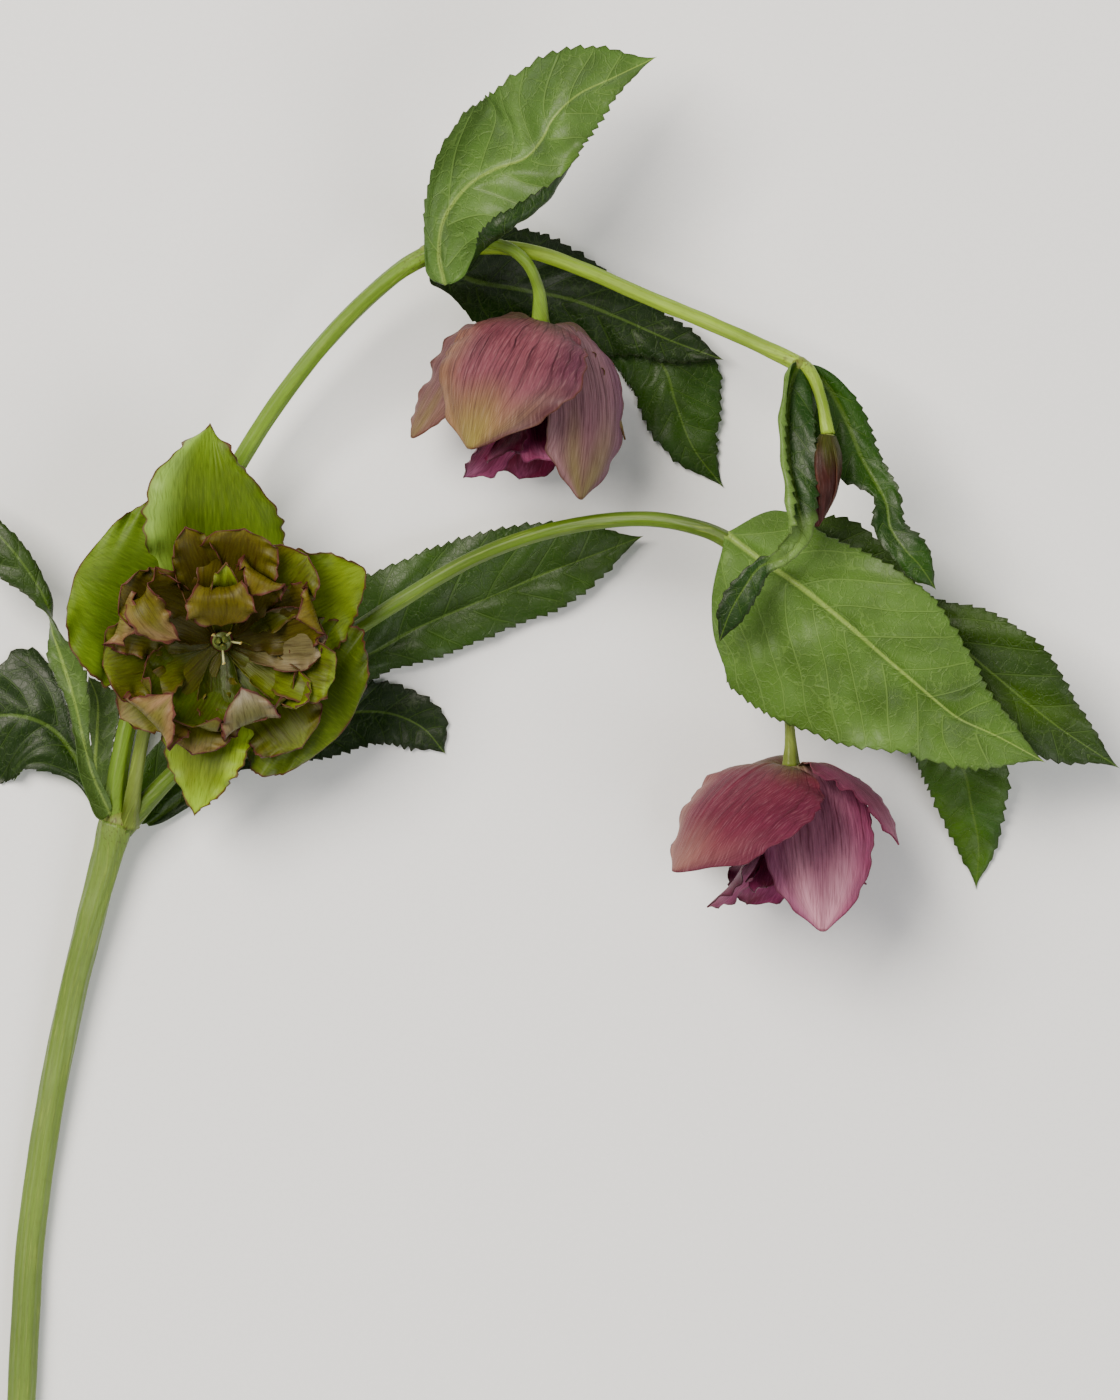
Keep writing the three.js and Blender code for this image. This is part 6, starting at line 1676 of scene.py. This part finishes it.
def stamen_tree():
    """The node group that plants the stamens."""

    def node(kind, inputs=None):
        return add(tree, "GeometryNode" + kind, inputs).outputs[0]

    def vector(x, y, z):
        return add(tree, "ShaderNodeCombineXYZ", {0: x, 1: y, 2: z}).outputs[0]

    def with_luck(most, least):
        return math_of(tree, "MULTIPLY_ADD", luck, most, least)

    def join(*parts):
        joined = add(tree, "GeometryNodeJoinGeometry")
        for part in parts:
            tree.links.new(part, joined.inputs[0])
        return joined.outputs[0]

    tree = bpy.data.node_groups.new("stamens round a heart", "GeometryNodeTree")
    face = tree.interface
    face.new_socket(name="Geometry", in_out="INPUT", socket_type="NodeSocketGeometry")
    for name, kind in SOCKETS:
        face.new_socket(name=name, in_out="INPUT", socket_type="NodeSocket" + kind)
    face.new_socket(name="Geometry", in_out="OUTPUT", socket_type="NodeSocketGeometry")
    given = tree.nodes.new("NodeGroupInput").outputs
    index = node("InputIndex")
    angle = times(tree, index, GOLDEN_ANGLE)
    # Inputs 2 and 3 are the least and the most of a plain number, 7 its place in the row, 8 the seed.
    chance = {2: 0.0, 3: 1.0, 7: index, 8: given["Seed"]}
    luck = add(tree, "FunctionNodeRandomValue", chance, data_type="FLOAT").outputs[1]
    # Points on the spiral, close round the pods.
    radius = with_luck(RING_LUCK, RING_RADIUS)
    x = times(tree, math_of(tree, "COSINE", angle), radius)
    y = times(tree, math_of(tree, "SINE", angle), radius)
    start = vector(x, y, given["Floor"])
    points = node("Points", {"Count": given["Count"], "Position": start})
    # A curve of height 1 that bends outwards, grown from each point.
    curve = node("CurveQuadraticBezier", BOW)
    lean = times(tree, given["Lean"], with_luck(LEAN_LUCK, LEAST_LEAN))
    turn = vector(0.0, lean, angle)
    tall = times(tree, given["Height"], with_luck(HEIGHT_LUCK, LEAST_HEIGHT))
    planted = {"Points": points, "Instance": curve, "Rotation": turn, "Scale": tall}
    threads = node("RealizeInstances", {0: node("InstanceOnPoints", planted)})
    profile = node("CurvePrimitiveCircle", {"Resolution": 8, "Radius": given["Thread radius"]})
    tubes = node("CurveToMesh", {"Curve": threads, "Profile Curve": profile, "Fill Caps": True})
    tubes = node("SetMaterial", {"Geometry": tubes, "Material": given["Thread"]})
    # An anther of two lobes on the end of each curve.
    sphere = node("MeshUVSphere", {"Segments": 14, "Rings": 10, "Radius": 1.0})
    lobes = []
    for side in (-LOBE_PLACE, LOBE_PLACE):
        lobes.append(node("Transform", {0: sphere, "Translation": (side, 0, 0), "Scale": LOBE_SIZE}))
    pair = join(*lobes)
    last = node("CurveEndpointSelection", {"Start Size": 0, "End Size": 1})
    spin = vector(*ANTHER_TILT, times(tree, index, ANTHER_SWING))
    tips = {
        "Points": threads, "Selection": last, "Instance": pair, "Rotation": spin,
        "Scale": given["Anther length"],
    }
    anthers = node("RealizeInstances", {0: node("InstanceOnPoints", tips)})
    anthers = node("SetMaterial", {"Geometry": anthers, "Material": given["Anther"]})
    place = {
        "Geometry": node("SetShadeSmooth", {0: join(tubes, anthers)}),
        "Translation": given["Seat"], "Rotation": given["Turn"], "Scale": (MM, MM, MM),
    }
    whole = join(node("Transform", place), given["Geometry"])
    tree.links.new(whole, tree.nodes.new("NodeGroupOutput").inputs[0])
    return tree


STAMEN_TREE = stamen_tree()
print(STAMEN_TREE.name, "has", len(STAMEN_TREE.nodes), "nodes")

# %% [markdown]
# The heart itself is a low cushion with three pointed pods. They are laid out as a lumpy ball and
# tubes, and go into the tree as the geometry that the stamens are joined to. The result is turned into
# a plain mesh, one for each flower, and the modifier is taken away again.

# %% Plant the stamens
HEART_FLOOR = 5.2  # mm above the flower's seat
CUSHION, CUSHION_RISE = [2.1, 2.1, 0.7], 0.4  # half widths and height above the floor, mm
THREADS_FROM = 0.5  # mm above the floor
THREAD_RADIUS = 0.24
PODS, FIRST_POD = 3, 45  # their number, and degrees
POD_LINE = [(0.7, 0.3), (1.0, 1.6), (0.9, 3.2), (0.6, 4.6), (0.5, 6.0)]  # mm out and up
POD_RADII = [0.75, 0.85, 0.7, 0.35, 0.1]
POD_RINGS, POD_SIDES, POD_SEAM = 24, 16, 0.12  # the seam as a share of the radius
STAMENS = {
    "green": {"Count": 4, "Height": 6.0, "Lean": 0.25, "Seed": 4, "Anther length": 0.5},
    "mauve": {"Count": 12, "Height": 20.0, "Lean": 0.25, "Seed": 5, "Anther length": 1.0},
    "pink": {"Count": 12, "Height": 13.0, "Lean": 0.25, "Seed": 6, "Anther length": 1.0},
}


def add_pod(piece, flower, azimuth, seed):
    """Adds one pointed seed pod."""
    seat, basis = flower_frame(flower)
    a = math.radians(azimuth)
    points = [[out * math.cos(a), out * math.sin(a), HEART_FLOOR + up] for out, up in POD_LINE]
    u, around = np.linspace(0, 1, POD_RINGS), turns(POD_SIDES)
    radii = track(POD_RADII, u)[:, None] * (1 + POD_SEAM * np.cos(2 * around + seed))[None]
    ring, faces, ends = tube(np.array(points) @ basis + seat, u, around, radii)
    piece.add(ring.reshape(-1, 3), faces + ends, [0] * (len(faces) + len(ends)))


for flower, counts in STAMENS.items():
    heart = Piece(flower + "_stamens_fine", [POD])
    flower_ball(heart, flower, HEART_FLOOR + CUSHION_RISE, CUSHION, "5a6430", seed=9)
    for k in range(PODS):
        add_pod(heart, flower, FIRST_POD + 360 / PODS * k, seed=k)
    thing = heart.make()
    seat, basis = flower_frame(flower)
    turn = Matrix(basis.T.tolist()).to_euler()
    values = {
        **counts, "Floor": HEART_FLOOR + THREADS_FROM, "Thread radius": THREAD_RADIUS,
        "Thread": FILAMENT, "Anther": ANTHER,
        "Seat": ((seat - BENCH_ORIGIN) * MM).tolist(), "Turn": list(turn),
    }
    modifier = thing.modifiers.new("stamens", "NODES")
    modifier.node_group = STAMEN_TREE
    for socket in STAMEN_TREE.interface.items_tree:
        if socket.in_out == "INPUT" and socket.name in values:
            modifier[socket.identifier] = values[socket.name]
    bpy.context.view_layer.update()
    ready = thing.evaluated_get(bpy.context.evaluated_depsgraph_get())
    planted = bpy.data.meshes.new_from_object(ready)
    thing.modifiers.remove(modifier)
    thing.data = planted
    planted.name = thing.name
    # Joining leaves an empty material slot, which no face uses.
    skins = list(planted.materials)
    if None in skins:
        planted.materials.pop(index=skins.index(None))
    # It also leaves the UV maps in any order, so they are laid on again in one order.
    for key in ("surface", "fan"):
        values = np.empty(2 * len(planted.loops), np.float32)
        planted.uv_layers[key].data.foreach_get("uv", values)
        planted.uv_layers.remove(planted.uv_layers[key])
        planted.uv_layers.new(name=key).data.foreach_set("uv", values)
    planted.uv_layers.active_index = 0
    planted.uv_layers[0].active_render = True
    finish_piece(thing, "stamen_cream", flower + "_stamens")

# %% [markdown]
# ## Table, light and camera
#
# The spray lies on a plain pale table and is seen from straight above. The light is that of a big
# window at the upper left: a large, soft lamp there, a weaker one opposite and a pale sky, so that
# every leaf has a lit flank and a soft shadow. The camera stands two and a half metres up with a long
# lens, because then near and far parts of the plant keep their sizes.

# %% Table
TABLE_HALF = 2.0  # metres
table_mesh = bpy.data.meshes.new("table")
corners = [(x * TABLE_HALF, y * TABLE_HALF, 0) for x, y in ((-1, -1), (1, -1), (1, 1), (-1, 1))]
table_mesh.from_pydata(corners, [], [(0, 1, 2, 3)])
table = bpy.data.objects.new("table", table_mesh)
bpy.context.scene.collection.objects.link(table)
paper, paper_tree = new_material("table, matt pale paper")
paper_grain = noise(paper_tree, object_place(paper_tree), 900.0, 2.0)
flecks = remap(paper_tree, paper_grain, 0.3, 0.7, 0.0, 0.1)
paper_base = blend(paper_tree, flecks, "f2f5fa", "e0e3e8")
skin_output(paper_tree, paper_base, 0.85, paper_grain, 0.05, 0.05)
table_mesh.materials.append(paper)
print("the table is", 2 * TABLE_HALF, "m wide")

# %% Light


def add_lamp(name, place, size, power, tint):
    """A square area lamp that looks at the middle of the table."""
    data = bpy.data.lights.new(name, "AREA")
    data.energy, data.size, data.color = power, size, colour(tint)[:3]
    lamp = bpy.data.objects.new(name, data)
    lamp.location = place
    lamp.rotation_euler = (-Vector(place)).to_track_quat("-Z", "Y").to_euler()
    bpy.context.scene.collection.objects.link(lamp)


LAMPS = {
    # place and size in metres, power in watts, colour
    "window": ((-1.1, 0.9, 2.1), 1.4, 112, "fff5e6"),
    "reflector": ((1.3, -0.9, 1.7), 1.3, 26, "fffaf2"),
}
SKY_COLOUR, SKY_STRENGTH = "f6f5f2", 0.32
for name, settings in LAMPS.items():
    add_lamp(name, *settings)
world = bpy.data.worlds.new("pale sky")
world.use_nodes = True
sky = world.node_tree.nodes["Background"].inputs
sky["Color"].default_value, sky["Strength"].default_value = colour(SKY_COLOUR), SKY_STRENGTH
bpy.context.scene.world = world
print(len(LAMPS), "lamps and the sky")

# %% Camera
CAMERA_HEIGHT = 2.5  # metres, like the next two
VIEW_MIDDLE = (0.0131, 0.02396)
VIEW_HEIGHT = 0.308  # of the table, from the picture's top to its bottom
SENSOR = 36.0  # mm
camera_data = bpy.data.cameras.new("camera")
camera_data.sensor_width = SENSOR
camera_data.lens = SENSOR * CAMERA_HEIGHT / VIEW_HEIGHT
camera = bpy.data.objects.new("camera", camera_data)
camera.location = (*VIEW_MIDDLE, CAMERA_HEIGHT)
bpy.context.scene.collection.objects.link(camera)
bpy.context.scene.camera = camera
print("lens", round(camera_data.lens, 1), "mm")
